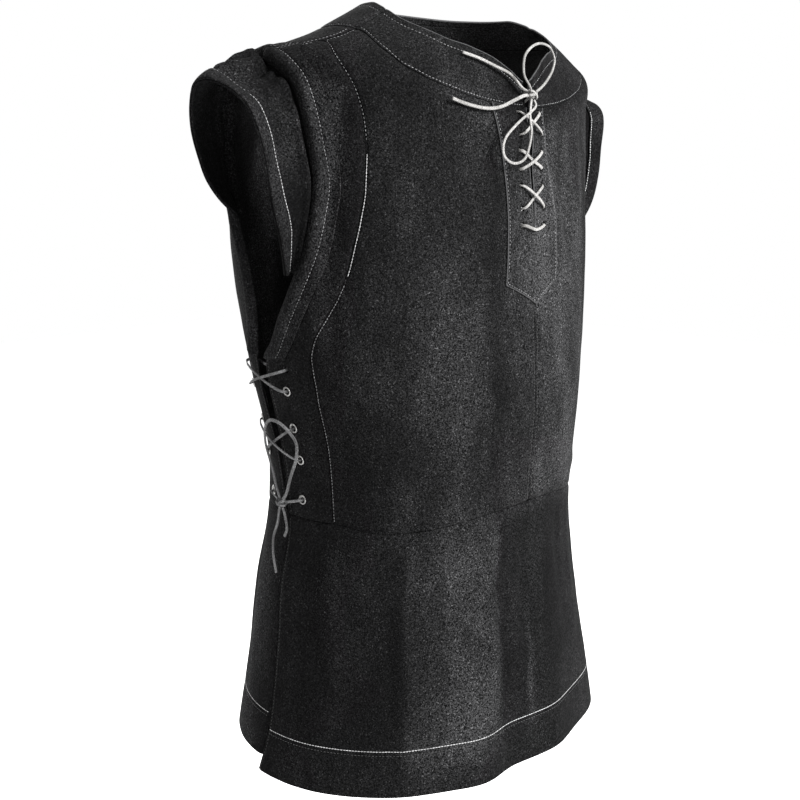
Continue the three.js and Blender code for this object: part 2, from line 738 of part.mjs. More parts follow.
function addKnot(name, { centre, normal }, look) {
  const ball = new THREE.SphereGeometry(1, 8, 6);
  ball.scale(knotRadii.x, knotRadii.y, knotRadii.z);
  ball.applyQuaternion(turnTo(normal));
  ball.translate(centre.x, centre.y, centre.z);
  add(name, ball, look);
}

// The place where a thong that heads for a point leaves a knot.
function leaveKnot({ centre, normal }, toward) {
  const way = toward.clone().sub(centre).normalize();
  const local = way.clone().applyQuaternion(turnTo(normal).invert()).divide(knotRadii);
  return centre.clone().addScaledVector(way, 1 / local.length() + seamGap);
}

function fromKnot(knot, points) {
  return [leaveKnot(knot, points[0]), ...points];
}

function loopAtKnot(knot, points) {
  return [...fromKnot(knot, points), leaveKnot(knot, points[points.length - 1])];
}

const vector = ([x, y, z]) => new THREE.Vector3(x, y, z);

function addFrontLace() {
  const outside = layerGap + trimWall + laceRadius + 0.6;
  const inside = -(wall + laceRadius + 0.7);
  const over = outside + 2 * laceRadius + 0.7;
  const hole = (sign, k) => [sign * slitHoleAngle(slitHoleLevels[k]), slitHoleLevels[k]];
  const crossing = (k, lift) => skin(0, (slitHoleLevels[k] + slitHoleLevels[k + 1]) / 2, lift);
  const holes = [
    hole(-1, 0), hole(1, 1), hole(1, 2), hole(-1, 3), hole(-1, 4), hole(1, 5), hole(1, 6),
    hole(-1, 6), hole(-1, 5), hole(1, 4), hole(1, 3), hole(-1, 2), hole(-1, 1), hole(1, 0),
  ];
  const bridges = {
    0: [crossing(0, over)],
    2: [crossing(2, over)],
    4: [crossing(4, over)],
    6: [skin(0, slitHoleLevels[6] - 0.12, outside + 1.2)],
    8: [crossing(4, outside - 0.3)],
    10: [crossing(2, outside - 0.3)],
    12: [crossing(0, outside - 0.3)],
  };
  const knot = { centre: vector(frontKnotAt), normal: bodyNormal(0, 10.3) };
  const leave = (angle, level) => [leaveKnot(knot, skin(angle, level, 0)), skin(angle, level, -1)];
  const start = [...leave(-0.6, 10.28), skin(-1, 10.26, inside - 0.8), skin(-4, 10.2, inside)];
  const end = [skin(4, 10.4, inside), skin(1, 10.46, inside - 0.8), ...leave(0.4, 10.5).reverse()];
  const points = threadThrough({ start, holes, end, outside, inside, bridges, firstInward: false });
  add('front_lace', threaded(points), paleThong);
  addKnot('front_lace_knot', knot, paleThong);
  const upper = loopAtKnot(knot, frontLoopUpper.map(vector));
  const lower = loopAtKnot(knot, frontLoopLower.map(vector));
  add('front_lace_loop_upper', thong(upper, 18), paleThong);
  add('front_lace_loop_lower', thong(lower, 20), paleThong);
  add('front_lace_tail_side', thong(fromKnot(knot, frontTailSide.map(vector)), 10), paleThong);
  add('front_lace_tail_neck', thong(fromKnot(knot, frontTailNeck.map(vector)), 8), paleThong);
}

function addSideLace(side, sign) {
  const outside = laceRadius + 2.3;
  const inside = -(wall + laceRadius + 1.9);
  const over = outside + 2 * laceRadius + 0.7;
  const place = ([angle, level]) => [sign * angle, level];
  const front = sideHoles.front.map(place);
  const back = sideHoles.back.map(place);
  const skinAt = ([angle, level, lift]) => skin(sign * angle, level, lift);
  const crossing = (k, lift) => {
    const angle = (front[k][0] + back[k][0] + front[k + 1][0] + back[k + 1][0]) / 4;
    const level = (front[k][1] + back[k][1] + front[k + 1][1] + back[k + 1][1]) / 4;
    return skin(angle, level, lift);
  };
  const holes = [
    front[4], front[3], back[2], back[1], front[0], back[0], front[1], front[2], back[3], back[4],
  ];
  const bridges = {
    1: [crossing(2, over)],
    3: [crossing(0, over)],
    4: [skin(sign * 98, 5.0, inside - 0.8)],
    5: [crossing(0, outside)],
    7: [crossing(2, outside)],
  };
  const knot = { centre: skinAt(sideKnotAt), normal: bodyNormal(sign * sideKnotAt[0], sideKnotAt[1]) };
  const start = [leaveKnot(knot, skin(front[4][0], front[4][1], outside))];
  const end = [leaveKnot(knot, skin(back[4][0], back[4][1], outside))];
  const points = threadThrough({ start, holes, end, outside, inside, bridges, firstInward: true });
  const name = `side_lace_${side}`;
  add(name, threaded(points), greyThong);
  addKnot(`${name}_knot`, knot, greyThong);
  add(`${name}_loop`, thong(loopAtKnot(knot, sideLoop.map(skinAt)), 20), greyThong);
  add(`${name}_tail_long`, thong(fromKnot(knot, sideTailLong.map(skinAt)), 11), greyThong);
  add(`${name}_tail_short`, thong(fromKnot(knot, sideTailShort.map(skinAt)), 6), greyThong);
}

for (const [side, sign] of Object.entries(sides)) {
  addFront(side, sign);
  addSideFront(side, sign);
  addArmholeBand(side, sign);
  addCap(side, sign);
  addSideLace(side, sign);
  for (const edge of ['front', 'back']) {
    sideHoles[edge].slice(1).forEach(([angle, level], k) => {
      addEyelet(`eyelet_${edge}_${side}_${k + 1}`, sign * angle, level);
    });
  }
}
addBack();
addSkirts();
addCollar();
addPlacket();
addFrontLace();

export default jerkin;
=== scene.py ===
# %% [markdown]
# This lesson dresses a short black suede jerkin that is worn but has no wearer in it. The frame is
# in metres: the wearer faces -Y, +X is the wearer's left and +Z is up. The origin lies midway
# between the shoulders. The cut is written in millimetres and degrees, as a tailor would note it.

# %% Load the frame
import math

import bmesh
import bpy
import numpy as np
from mathutils import Matrix, Vector, noise


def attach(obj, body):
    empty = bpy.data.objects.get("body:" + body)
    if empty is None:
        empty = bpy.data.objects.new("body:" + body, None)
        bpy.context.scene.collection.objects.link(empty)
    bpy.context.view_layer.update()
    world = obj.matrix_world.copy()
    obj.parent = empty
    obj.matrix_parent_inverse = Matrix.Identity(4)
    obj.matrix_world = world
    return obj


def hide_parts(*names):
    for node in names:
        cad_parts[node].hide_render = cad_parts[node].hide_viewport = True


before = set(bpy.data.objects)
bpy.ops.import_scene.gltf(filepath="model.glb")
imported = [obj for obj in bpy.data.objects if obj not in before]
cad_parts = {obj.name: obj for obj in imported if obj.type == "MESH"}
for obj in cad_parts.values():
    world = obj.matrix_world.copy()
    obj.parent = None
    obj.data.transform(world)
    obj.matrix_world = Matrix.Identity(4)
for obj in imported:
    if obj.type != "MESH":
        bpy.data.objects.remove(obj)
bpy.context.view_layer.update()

print("parts in the frame:", len(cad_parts))

# %% [markdown]
# The picture is taken from the wearer's front right, a little above the chest and tilted down. A
# real photographer would stand about 1.2 m away, so the perspective is fairly strong, and the
# camera is placed by those measures instead of being fitted to the object's box.

# %% Camera
camera_heading = 47.4
camera_tilt_down = 11.6
camera_place = (-0.8999, -0.7809, -0.1195)
camera_lens = 52.4

sensor_width = 36


def add_object(name, data):
    obj = bpy.data.objects.new(name, data)
    bpy.context.scene.collection.objects.link(obj)
    return obj


camera_data = bpy.data.cameras.new("camera")
camera_data.lens = camera_lens
camera_data.sensor_width = sensor_width
camera = add_object("camera", camera_data)
camera.location = camera_place
camera.rotation_euler = (math.radians(90 - camera_tilt_down), 0, math.radians(-camera_heading))
bpy.context.scene.camera = camera
print("lens", camera_lens, "mm")

# %% [markdown]
# Black suede shows its shape only by soft light. A pale room gives the even part. One broad lamp in
# front draws the bright band down the chest, and three weaker ones open the right side, the back
# and the shoulders. The floor lies well below the hem, so that it throws no shadow into view.

# %% Light and floor
# name, place, aim, size in metres, power in watts
lamps = [
    ("key", (0.3, -2.35, 0.9), (0.0, 0.0, -0.35), 0.9, 250),
    ("left_fill", (-2.4, 0.5, 0.4), (-0.1, 0.0, -0.3), 1.4, 12),
    ("back_fill", (0.9, 2.6, 0.5), (0.0, 0.0, -0.3), 1.6, 45),
    ("top", (0.2, 0.5, 2.2), (0.0, 0.0, -0.2), 1.5, 30),
]
floor_height = -1.25
floor_half_width = 6


def add_area(name, place, aim, size, power):
    data = bpy.data.lights.new(name, "AREA")
    data.shape = "DISK"
    data.size = size
    data.energy = power
    lamp = add_object(name, data)
    lamp.location = place
    lamp.rotation_euler = (Vector(aim) - Vector(place)).to_track_quat("-Z", "Y").to_euler()


def add_mesh(name, bm, mesh_name=None):
    mesh = bpy.data.meshes.new(mesh_name or name)
    bm.to_mesh(mesh)
    bm.free()
    return add_object(name, mesh)


for lamp_values in lamps:
    add_area(*lamp_values)

world = bpy.data.worlds.new("pale_room")
world.use_nodes = True
room_inputs = world.node_tree.nodes["Background"].inputs
room_inputs["Color"].default_value = (1, 1, 1, 1)
room_inputs["Strength"].default_value = 1.0
bpy.context.scene.world = world
bpy.context.scene.view_settings.view_transform = "Standard"

floor_bm = bmesh.new()
bmesh.ops.create_grid(floor_bm, x_segments=1, y_segments=1, size=floor_half_width)
bmesh.ops.translate(floor_bm, verts=floor_bm.verts, vec=(0, 0, floor_height))
floor = add_mesh("floor", floor_bm)
floor_paint = bpy.data.materials.new("floor_paint")
floor_paint.use_nodes = True
floor_inputs = floor_paint.node_tree.nodes["Principled BSDF"].inputs
floor_inputs["Base Color"].default_value = (0.95, 0.95, 0.95, 1)
floor_inputs["Roughness"].default_value = 0.9
floor.data.materials.append(floor_paint)
print("lamps:", len(lamps))

# %% [markdown]
# The cut comes first. A ring table gives the worn form from the hem to the neck. A second table
# gives every upright seam and edge by level, so that two neighbouring panels read the same line.

# %% The cut, in millimetres and degrees
MM = 0.001
# height at front, sides and back, half width, depth in front and behind, centre Y, squareness
rings = np.array([
    [-711, -715, -682, 212, 174, 155, 26, 2.2],
    [-608, -619, -600, 195, 162, 144, 26, 2.2],
    [-521, -535, -523, 183, 153, 135, 26, 2.2],
    [-440, -467, -451, 172, 149, 125, 22, 2.2],
    [-360, -391, -378, 177, 150, 127, 18, 2.2],
    [-269, -310, -304, 193, 149, 137, 20, 2.2],
    [-204, -223, -225, 204, 148, 144, 24, 2.2],
    [-164, -137, -145, 212, 147, 144, 25, 2.05],
    [-124, -56, -88, 217, 138, 128, 20, 1.95],
    [-97, -28, -48, 209, 125, 112, 7, 1.95],
    [-75, -7, -10, 158, 106, 90, -8, 2.0],
    [-36, 22, 25, 101, 96, 66, -13, 1.9],
], float)
# level, princess seam, front edge, back edge, band edge on the front, band edge on the back
uprights = np.array([
    [3.15, 76.2, 95.0, 95.8, 86.8, 102.4],
    [3.6, 76.9, 96.0, 98.0, 87.6, 104.6],
    [4.15, 77.6, 97.2, 100.5, 88.6, 107.2],
    [4.68, 78.6, 97.2, 102.2, 88.9, 108.8],
    [5.13, 78.8, 95.5, 100.5, 87.0, 107.2],
    [5.32, 77.4, 91.2, 99.0, 83.5, 105.4],
    [5.56, 73.4, 87.4, 97.4, 79.6, 103.8],
    [5.8, 69.2, 83.4, 96.6, 75.9, 103.1],
    [6.05, 66.3, 79.8, 97.0, 72.6, 103.6],
    [6.3, 64.6, 77.0, 98.2, 70.3, 104.8],
    [6.65, 62.7, 74.8, 101.0, 68.4, 107.5],
    [7.0, 61.6, 73.5, 104.0, 67.3, 110.3],
    [7.35, 61.5, 74.6, 105.2, 68.3, 111.4],
    [7.7, 62.4, 76.4, 105.0, 70.1, 111.3],
    [8.05, 64.6, 79.1, 103.2, 72.2, 110.5],
    [8.4, 67.4, 83.4, 100.3, 74.8, 109.0],
    [8.7, 69.9, 87.8, 96.5, 77.6, 107.2],
    [8.95, 72.2, 91.0, 91.6, 80.4, 104.6],
    [9.15, 74.6, 87.9, 88.1, 82.6, 100.6],
    [9.35, 77.2, 85.2, 85.4, 84.1, 95.5],
    [9.5, 79.8, 83.4, 83.6, 81.8, 93.0],
    [9.62, 82.0, 82.1, 82.3, 81.0, 91.5],
    [9.9, 80.8, 80.9, 81.1, 79.0, 90.0],
    [10.15, 80.5, 80.6, 80.8, 79.0, 90.0],
    [10.45, 78.5, 78.6, 78.8, 77.0, 88.0],
    [11.0, 77.4, 77.5, 77.7, 76.0, 87.0],
])
PRINCESS, FRONT_EDGE, BACK_EDGE, FRONT_BAND, BACK_BAND = 1, 2, 3, 4, 5
# angle from the centre front, level
waist_seam = np.array([
    [0, 2.9], [40, 2.92], [60, 2.98], [76, 3.13], [95, 3.15], [120, 3.1], [180, 3.0],
])
collar_seam = np.array([
    [0, 10.15], [10, 10.08], [20, 9.95], [29, 9.74], [41, 9.44], [50, 9.33], [57, 9.38],
    [66, 9.68], [80, 10.14], [100, 10.22], [130, 10.12], [180, 10.06],
])
neck_edge = np.array([
    [0, 10.68], [6, 10.78], [12, 10.9], [24, 11.0], [36, 10.92], [50, 10.72], [65, 10.65],
    [80, 10.85], [92, 11.0], [180, 11.0],
])
# level, edge of the front skirt, edge of the back skirt
skirt_sides = np.array([
    [0, 95.5, 95.7], [0.25, 94.0, 94.1], [0.5, 93.1, 93.1], [0.85, 93.3, 93.3], [1.42, 93.5, 93.5],
    [2.45, 95.1, 95.1], [3.15, 95.2, 95.2],
])
# angle, level of the back skirt's hem
back_hem = np.array([[95, 0.16], [120, 0.155], [135, 0.08], [150, 0.02], [165, 0], [180, 0]])
# level, edge on the wearer's right, edge on the left
placket_sides = np.array([
    [5.55, -15.8, 13.4], [6.0, -14.4, 14.9], [6.6, -13.9, 15.0], [7.2, -14.3, 13.6], [7.9, -15.6, 12.0],
    [8.5, -18.2, 10.6], [9.0, -21.0, 10.2], [9.5, -24.0, 11.0], [10.0, -26.0, 12.6],
])
placket_tip = 5.22
placket_corner = 5.55
# angle, bottom level, top level, width in degrees, rise
folds = [
    (-27, 0, 2.5, 9, 6.5), (-13, 0, 2.2, 8, -5), (8, 0, 2.6, 9, 4.5), (-60, 0, 2.3, 14, -4),
    (44, 0, 2.4, 12, 4), (66, 0, 2.0, 9, -4), (112, 0, 2.4, 9, 4), (134, 0, 2.6, 10, -4.5),
    (158, 0, 2.3, 9, 5), (184, 0, 2.7, 11, -4), (208, 0, 2.4, 9, 5), (232, 0, 2.2, 11, -4),
]
# height of the neck slit's bottom and top, and half its width there
slit_bottom = -189
slit_top = -20
slit_half_bottom = 0.8
slit_half_top = 4.2
hole_from_centre = 16
slit_hole_levels = [9.95, 9.0, 8.45, 7.88, 7.52, 7.01, 6.61]
# angle and level of the lace holes beside each side opening; the top one has no eyelet
side_holes = {
    "front": [(87.6, 5.02), (88.6, 4.77), (89.1, 4.32), (88.2, 3.92), (88.2, 3.4)],
    "back": [(109, 5.02), (111, 4.72), (110, 4.28), (108, 3.88), (105.5, 3.36)],
}
sides = {"right": -1, "left": 1}
print("rings:", len(rings), "levels of the upright seams:", len(uprights))

# %% [markdown]
# Small creases are placed as the photograph shows them: drag lines from the armholes,
# slack above the waist and soft dents in the skirt. Each is a short line with a width and a depth.

# %% Creases
# angle and level of both ends, half width in millimetres, rise
creases = [
    (-74, 4.3, -66, 8.2, 9, -3.2), (-58, 5.2, -53, 7.6, 12, 2.2), (-47, 3.3, -40, 5.4, 13, -2.2),
    (-80, 4.9, -60, 4.3, 8, -1.6), (-72, 3.5, -44, 3.25, 9, 2.0), (-30, 6.8, -26, 9.0, 11, -1.6),
    (-66, 8.3, -50, 9.0, 8, -1.6), (-38, 3.4, -14, 3.9, 10, -1.7), (-22, 4.4, -4, 4.0, 12, 1.4),
    (20, 7.9, 27, 5.8, 12, -2.0), (34, 6.2, 40, 8.6, 11, 1.8), (58, 5.0, 66, 7.8, 10, -2.6),
    (74, 4.6, 52, 4.0, 8, -1.7), (22, 3.5, 48, 3.2, 10, 1.8), (12, 4.9, 30, 4.4, 11, -1.4),
    (-44, 8.0, -36, 9.2, 9, 1.5), (46, 8.8, 56, 8.2, 8, -1.5), (-12, 5.4, -8, 4.3, 9, -1.2),
    (104, 7.6, 122, 6.3, 11, -2.6), (116, 8.5, 140, 8.1, 12, -1.8), (112, 4.1, 150, 3.7, 10, -2.6),
    (128, 3.3, 172, 3.5, 9, 2.2), (150, 5.2, 156, 7.6, 13, -2.0), (178, 4.0, 184, 6.8, 12, -2.2),
    (206, 5.0, 214, 7.4, 13, 2.0), (196, 3.9, 236, 3.5, 9, -2.4), (240, 8.1, 218, 8.4, 11, -2.0),
    (252, 7.2, 236, 5.9, 10, -2.6), (168, 9.0, 196, 9.2, 9, -1.5), (222, 4.5, 244, 4.2, 9, 1.9),
    (-53, 2.5, -52, 0.0, 15, 3.4), (-70, 2.3, -70, 0.1, 26, -3.0), (-38, 1.9, -37, 0.0, 16, -1.4),
    (-50, 2.6, -46, 1.2, 9, -1.2), (-15.5, 1.5, -15, 0.75, 5, -2.2),
    (-20, 1.5, -19.5, 0.75, 6, 1.4), (-72.5, 5.9, -67.5, 7.9, 7, -3.4),
    (-62, 8.6, -58, 7.4, 10, 1.8), (-5.5, 0.8, -3, 0.55, 3.5, 2.4), (-1.5, 2.2, -2, 0.7, 3.5, 1.3),
    (-51.5, 2.75, -50.5, 0.2, 6, 1.6), (-55.5, 2.75, -54.5, 0.2, 6, -1.6),
    (-78, 2.7, -72, 0.9, 10, 2.0), (-36, 2.8, -34, 1.6, 7, -1.9), (-20, 2.7, -20, 1.0, 7, 1.8),
    (-4, 2.6, -2, 0.8, 8, -2.2), (20, 2.7, 24, 1.2, 8, -2.0), (34, 2.7, 33, 1.0, 8, 1.6),
    (56, 2.6, 54, 1.1, 9, -1.8), (80, 2.6, 78, 1.2, 9, 1.8), (-66, 0.7, -44, 0.4, 9, -1.6),
    (102, 2.6, 101, 1.3, 8, -2.0), (124, 2.7, 122, 1.0, 8, -2.0), (146, 2.7, 146, 1.1, 8, -1.8),
    (170, 2.7, 171, 1.4, 8, -2.2), (196, 2.7, 196, 1.0, 8, -1.8), (220, 2.7, 219, 1.2, 8, -2.2),
    (246, 2.6, 247, 1.2, 8, -1.8),
]
print("creases:", len(creases))

# %% [markdown]
# Suede is never one tone. Where the nap is brushed up or worn it is paler, mostly in upright bands
# that follow the folds. On the front the bands also paint light and shade: pale where the lamp
# lights the chest and skirt, dark in shaded recesses. They are listed on the hidden sides too, and
# kept as a value in each panel for the material to read.

# %% Bands of worn nap and of painted light and shade
# angles of both edges, softness of both edges in degrees, bottom level, top level, and strength,
# which is below 0 where shade is painted in
wear_and_light_bands = [
    # on the front, pale bands paint the lamp's light on the chest and skirt, and bands below 0 paint
    # shade in the recess beside the armhole band and on the skirt's shaded plane; elsewhere they are
    # worn nap
    (-50.5, -16.5, 2.4, 2.2, 0.3, 2.86, 0.32), (-45, -20, 5, 8, 0.2, 2.5, 0.3),
    (-50, -24, 7, 6, 2.95, 9.8, 0.22), (-17, 10, 6, 8, 2.9, 9.6, 0.32),
    (3, 42, 9, 8, 2.9, 9.4, 0.6), (12, 34, 7, 7, 3.2, 8.6, 0.35),
    (-67, -61.8, 1, 1, 5.4, 8.3, -0.14), (-15, 40, 3, 8, -0.5, 2.86, -0.1),
    (-61, -50, 2, 6, 5.2, 8.6, -0.05), (-12, 8, 5, 5, 5.2, 7.0, 0.3),
    (-75, -66, 4, 4, 6.4, 8.2, 0.3), (-62, -50, 6, 5, 2.9, 4.6, 0.08),
    (-3.5, -0.5, 1.2, 1.2, 0.4, 1.7, 0.32), (24, 38, 6, 6, -0.5, 2.6, 0.1),
    (49, 64, 6, 6, 3.0, 8.8, 0.3), (52, 73, 7, 7, -0.5, 2.6, 0.4), (82, 95, 5, 5, 3.2, 5.0, 0.2),
    (109, 128, 7, 7, 3.2, 8.6, 0.4), (101, 124, 7, 7, -0.5, 2.6, 0.4),
    (138, 158, 8, 8, 3.0, 9.6, 0.5), (141, 159, 7, 7, -0.5, 2.5, 0.35),
    (173, 195, 8, 8, 2.9, 7.6, 0.4), (174, 198, 8, 8, -0.5, 2.7, 0.5),
    (207, 225, 7, 7, 3.0, 9.4, 0.45), (212, 232, 7, 7, -0.5, 2.6, 0.4),
    (237, 251, 6, 6, 3.4, 8.2, 0.35), (247, 261, 6, 6, -0.5, 2.5, 0.35),
]
print("brushed bands:", len(wear_and_light_bands))

# %% [markdown]
# These helpers read the tables between their rows. They work on whole grids at once, which keeps
# the script quick. A curve through the rings rounds the form, and a gentler one is used for seams,
# because it never swings past the values in its table.

# %% Reading the tables
def mix(a, b, t):
    return a + (b - a) * t


def look_up(table, key, column=1):
    x = np.clip(key, table[0, 0], table[-1, 0])
    keys = table[:, 0]
    values = table[:, column]
    slope = np.diff(values) / np.diff(keys)
    product = slope[:-1] * slope[1:]
    inner = np.where(product > 0, 2 * product / (slope[:-1] + slope[1:] + 1e-30), 0)
    tangent = np.concatenate([slope[:1], inner, slope[-1:]])
    i = np.clip(np.searchsorted(keys, x, side="right") - 1, 0, len(keys) - 2)
    h = keys[i + 1] - keys[i]
    t = (x - keys[i]) / h
    a = 2 * t**3 - 3 * t**2 + 1
    b = t**3 - 2 * t**2 + t
    c = -2 * t**3 + 3 * t**2
    d = t**3 - t**2
    return a * values[i] + b * h * tangent[i] + c * values[i + 1] + d * h * tangent[i + 1]


def curve_between(p0, p1, p2, p3, f):
    cubic = 3 * p1 - p0 - 3 * p2 + p3
    square = 2 * p0 - 5 * p1 + 4 * p2 - p3
    return 0.5 * (2 * p1 + (p2 - p0) * f + square * f * f + cubic * f**3)


def ease(value):
    share = np.clip(value, 0, 1)
    return share * share * (3 - 2 * share)


def bell(distance, width):
    return np.exp(-((distance / width) ** 2))


def unit(v):
    return v / np.maximum(np.linalg.norm(v, axis=-1, keepdims=True), 1e-12)


print("level of the waist seam at the side:", round(float(look_up(waist_seam, 90)), 2))

# %% [markdown]
# A point of the worn form is named by its angle from the centre front and its level in the ring
# table. Its direction away from the body comes from two short steps, one round and one upward.

# %% Points on the worn form
top_level = len(rings) - 1
angle_step = 0.2
level_step = 0.02


def ring_at(level):
    u = np.clip(np.asarray(level, float), 0, top_level)
    i = np.minimum(u.astype(int), top_level - 1)
    f = (u - i)[..., None]
    p1 = rings[i]
    p2 = rings[i + 1]
    p0 = np.where((i == 0)[..., None], 2 * p1 - p2, rings[np.maximum(i - 1, 0)])
    p3 = np.where((i + 2 > top_level)[..., None], 2 * p2 - p1, rings[np.minimum(i + 2, top_level)])
    return curve_between(p0, p1, p2, p3, f)


def front_depth(level):
    return ring_at(level)[..., 4]


def body_point(angle, level):
    angle, level = np.broadcast_arrays(np.asarray(angle, float), np.asarray(level, float))
    front_z, side_z, back_z, width, front, back, centre, power = np.moveaxis(ring_at(level), -1, 0)
    s = np.sin(np.radians(angle))
    c = np.cos(np.radians(angle))
    depth = np.where(c > 0, front, back)
    r = (np.abs(s / width) ** power + np.abs(c / depth) ** power) ** (-1 / power)
    z = side_z + (np.where(c > 0, front_z, back_z) - side_z) * c * c
    return np.stack([r * s, centre - r * c, z], -1)


def body_normal(angle, level):
    level = np.asarray(level, float)
    around = body_point(angle + angle_step, level) - body_point(angle - angle_step, level)
    above = np.minimum(top_level, level + level_step)
    below = np.maximum(0, level - level_step)
    return unit(np.cross(around, body_point(angle, above) - body_point(angle, below)))


chest_ring = body_point(np.linspace(0, 360, 361), 6.0)
print("girth of the chest, mm:", round(float(np.linalg.norm(np.diff(chest_ring, axis=0), axis=1).sum())))

# %% [markdown]
# Folds and creases only push the skin out or in. Each one is a soft bell across its width that
# fades along its length, and they are added together. The worn nap and the painted light and shade
# are read from their table in the same way, with edges that wander a little on their way up.

# %% Folds, creases, worn nap and painted light
# what a step of one degree and of one level measures on the body, in millimetres
step_across = 3.1
step_along = 84
# how much a crease fades toward its ends, and where creases fade out below the neck's edge
crease_taper = 0.7
calm_level = 10.6
calm_reach = 1.2
nap_unbrushed = 0.02
band_end = 0.5
# swing in degrees, pace and start of the two waves in the bands' edges
band_waves = [(0.9, 4.1, 0), (0.5, 9.7, 1)]


def turn_between(angle, at):
    return (angle - at + 540) % 360 - 180


def fold_rise(angle, level):
    rise = 0
    for at, bottom, top, width, height in folds:
        fade = np.clip((top - level) / (top - bottom), 0, 1)
        rise = rise + height * bell(turn_between(angle, at), width) * fade * fade * (3 - 2 * fade)
    return rise


def crease_rise(angle, level):
    rise = 0
    for a0, u0, a1, u1, width, height in creases:
        px = turn_between(angle, a0) * step_across
        py = (level - u0) * step_along
        dx = (a1 - a0) * step_across
        dy = (u1 - u0) * step_along
        share = np.clip((px * dx + py * dy) / (dx * dx + dy * dy), 0, 1)
        away = np.hypot(px - share * dx, py - share * dy)
        strength = 1 - (2 * share - 1) ** 2 * crease_taper
        rise = rise + height * strength * bell(away, width)
    return rise * np.clip((calm_level - level) / calm_reach, 0, 1)


def wear_and_painted_light(angle, level):
    share = nap_unbrushed
    for swing, pace, start in band_waves:
        angle = angle + swing * np.sin(level * pace + start)
    for first, last, soft_first, soft_last, bottom, top, strength in wear_and_light_bands:
        across = ease(turn_between(angle, first) / soft_first + 0.5)
        across = across * ease(0.5 - turn_between(angle, last) / soft_last)
        along = ease((level - bottom) / band_end + 0.5) * ease((top - level) / band_end + 0.5)
        share = share + strength * across * along
    return share


def skin(angle, level, lift):
    rise = np.asarray(lift + fold_rise(angle, level), float)
    return body_point(angle, level) + body_normal(angle, level) * rise[..., None]


print("fold at the right front, mm:", round(float(fold_rise(-27, 0.5)), 1))

# %% [markdown]
# Every edge of a panel is a function. A side edge gives the angle at each level, and a seam or a hem
# gives the level at each angle. Neighbours share a line and stand a hair apart on it.

# %% Edges of the panels
seam_angle = 0.05
waist_gap = 0.003
collar_gap = 0.006


def even_angle(angle):
    turn = np.asarray(angle, float) % 360
    return np.where(turn > 180, 360 - turn, turn)


def seam_at(table, shift=0.0):
    return lambda angle: look_up(table, even_angle(angle)) + shift


def flat_level(level):
    return lambda angle: np.full(np.shape(angle), float(level))


def side_edge(table, column, sign=1, gap=0.0):
    return lambda level: sign * (look_up(table, level, column) + gap)


def far_edge(table, column):
    return lambda level: 360 - look_up(table, level, column) - seam_angle


def slit_angle(level):
    height = body_point(0, level)[..., 2]
    half = mix(slit_half_bottom, slit_half_top, (height - slit_bottom) / (slit_top - slit_bottom))
    opened = np.degrees(np.arctan(np.clip(half, 0, 9) / front_depth(level)))
    return np.where(height > slit_bottom, opened, seam_angle)


def slit_edge(sign):
    return lambda level: sign * slit_angle(level)


above_waist = seam_at(waist_seam, waist_gap)
below_waist = seam_at(waist_seam, -waist_gap)
below_collar = seam_at(collar_seam, -collar_gap)
above_collar = seam_at(collar_seam, collar_gap)
print("slit opens at the top by, degrees:", round(float(slit_angle(10.5)) * 2, 1))

# %% [markdown]
# A panel of suede is made as a flat grid whose points are laid on the worn form. Rows and columns
# stand closer at the edges, where the skin rolls down into its seam. Each panel keeps its distance
# to its own edges, because the stitching and the pale cut edges follow them.

# %% Grids and their distances
FAR = 1e3
edge_rows = np.array([1.2, 2.8, 5.5])
settle_rounds = 14


def crowd(cells, size):
    near = edge_rows / size
    middle = np.linspace(near[-1], 1 - near[-1], max(2, cells) + 1)
    return np.concatenate([[0], near[:-1], middle, 1 - near[-2::-1], [1]])


def settle(panel, s, t):
    level = np.full(s.shape, 5.0)
    for _ in range(settle_rounds):
        angle = mix(panel["left"](level), panel["right"](level), s)
        level = mix(panel["bottom"](angle), panel["top"](angle), t)
    return mix(panel["left"](level), panel["right"](level), s), level


def run_lengths(points, axis):
    step = np.linalg.norm(np.diff(points, axis=axis), axis=-1)
    pad = np.zeros_like(np.take(step, [0], axis=axis))
    forward = np.cumsum(np.concatenate([pad, step], axis=axis), axis=axis)
    total = np.take(forward, [-1], axis=axis)
    return forward, total - forward


def edge_distances(points):
    left, right = run_lengths(points, 1)
    bottom, top = run_lengths(points, 0)
    return {"left": left, "right": right, "bottom": bottom, "top": top}


def grid_normals(points):
    return unit(np.cross(np.gradient(points, axis=1), np.gradient(points, axis=0)))


def surface_area(points):
    a = points[1:, 1:] - points[:-1, :-1]
    b = points[1:, :-1] - points[:-1, 1:]
    return float(np.linalg.norm(np.cross(a, b), axis=-1).sum() / 2)


def away_from(points, edge):
    return np.min(np.linalg.norm(points[:, :, None] - edge[None, None], axis=-1), axis=2)


print("rows near an edge, mm:", edge_rows)

# %% [markdown]
# A flat grid from the grid operator becomes the skin: each of its points is moved to its place. The
# distances go with it as attributes, the flat size becomes its UV map, and Solidify gives it the
# thickness of suede afterwards, so the skin itself stays easy to bend.

# %% Lay a grid as a skin
suede_thickness = 1.5
trim_thickness = 1.3
body_middle = Vector((0, 0.02, -0.35))
swell_scale = 0.017
fine_swell = 0.45
fine_swell_scale = 2.3


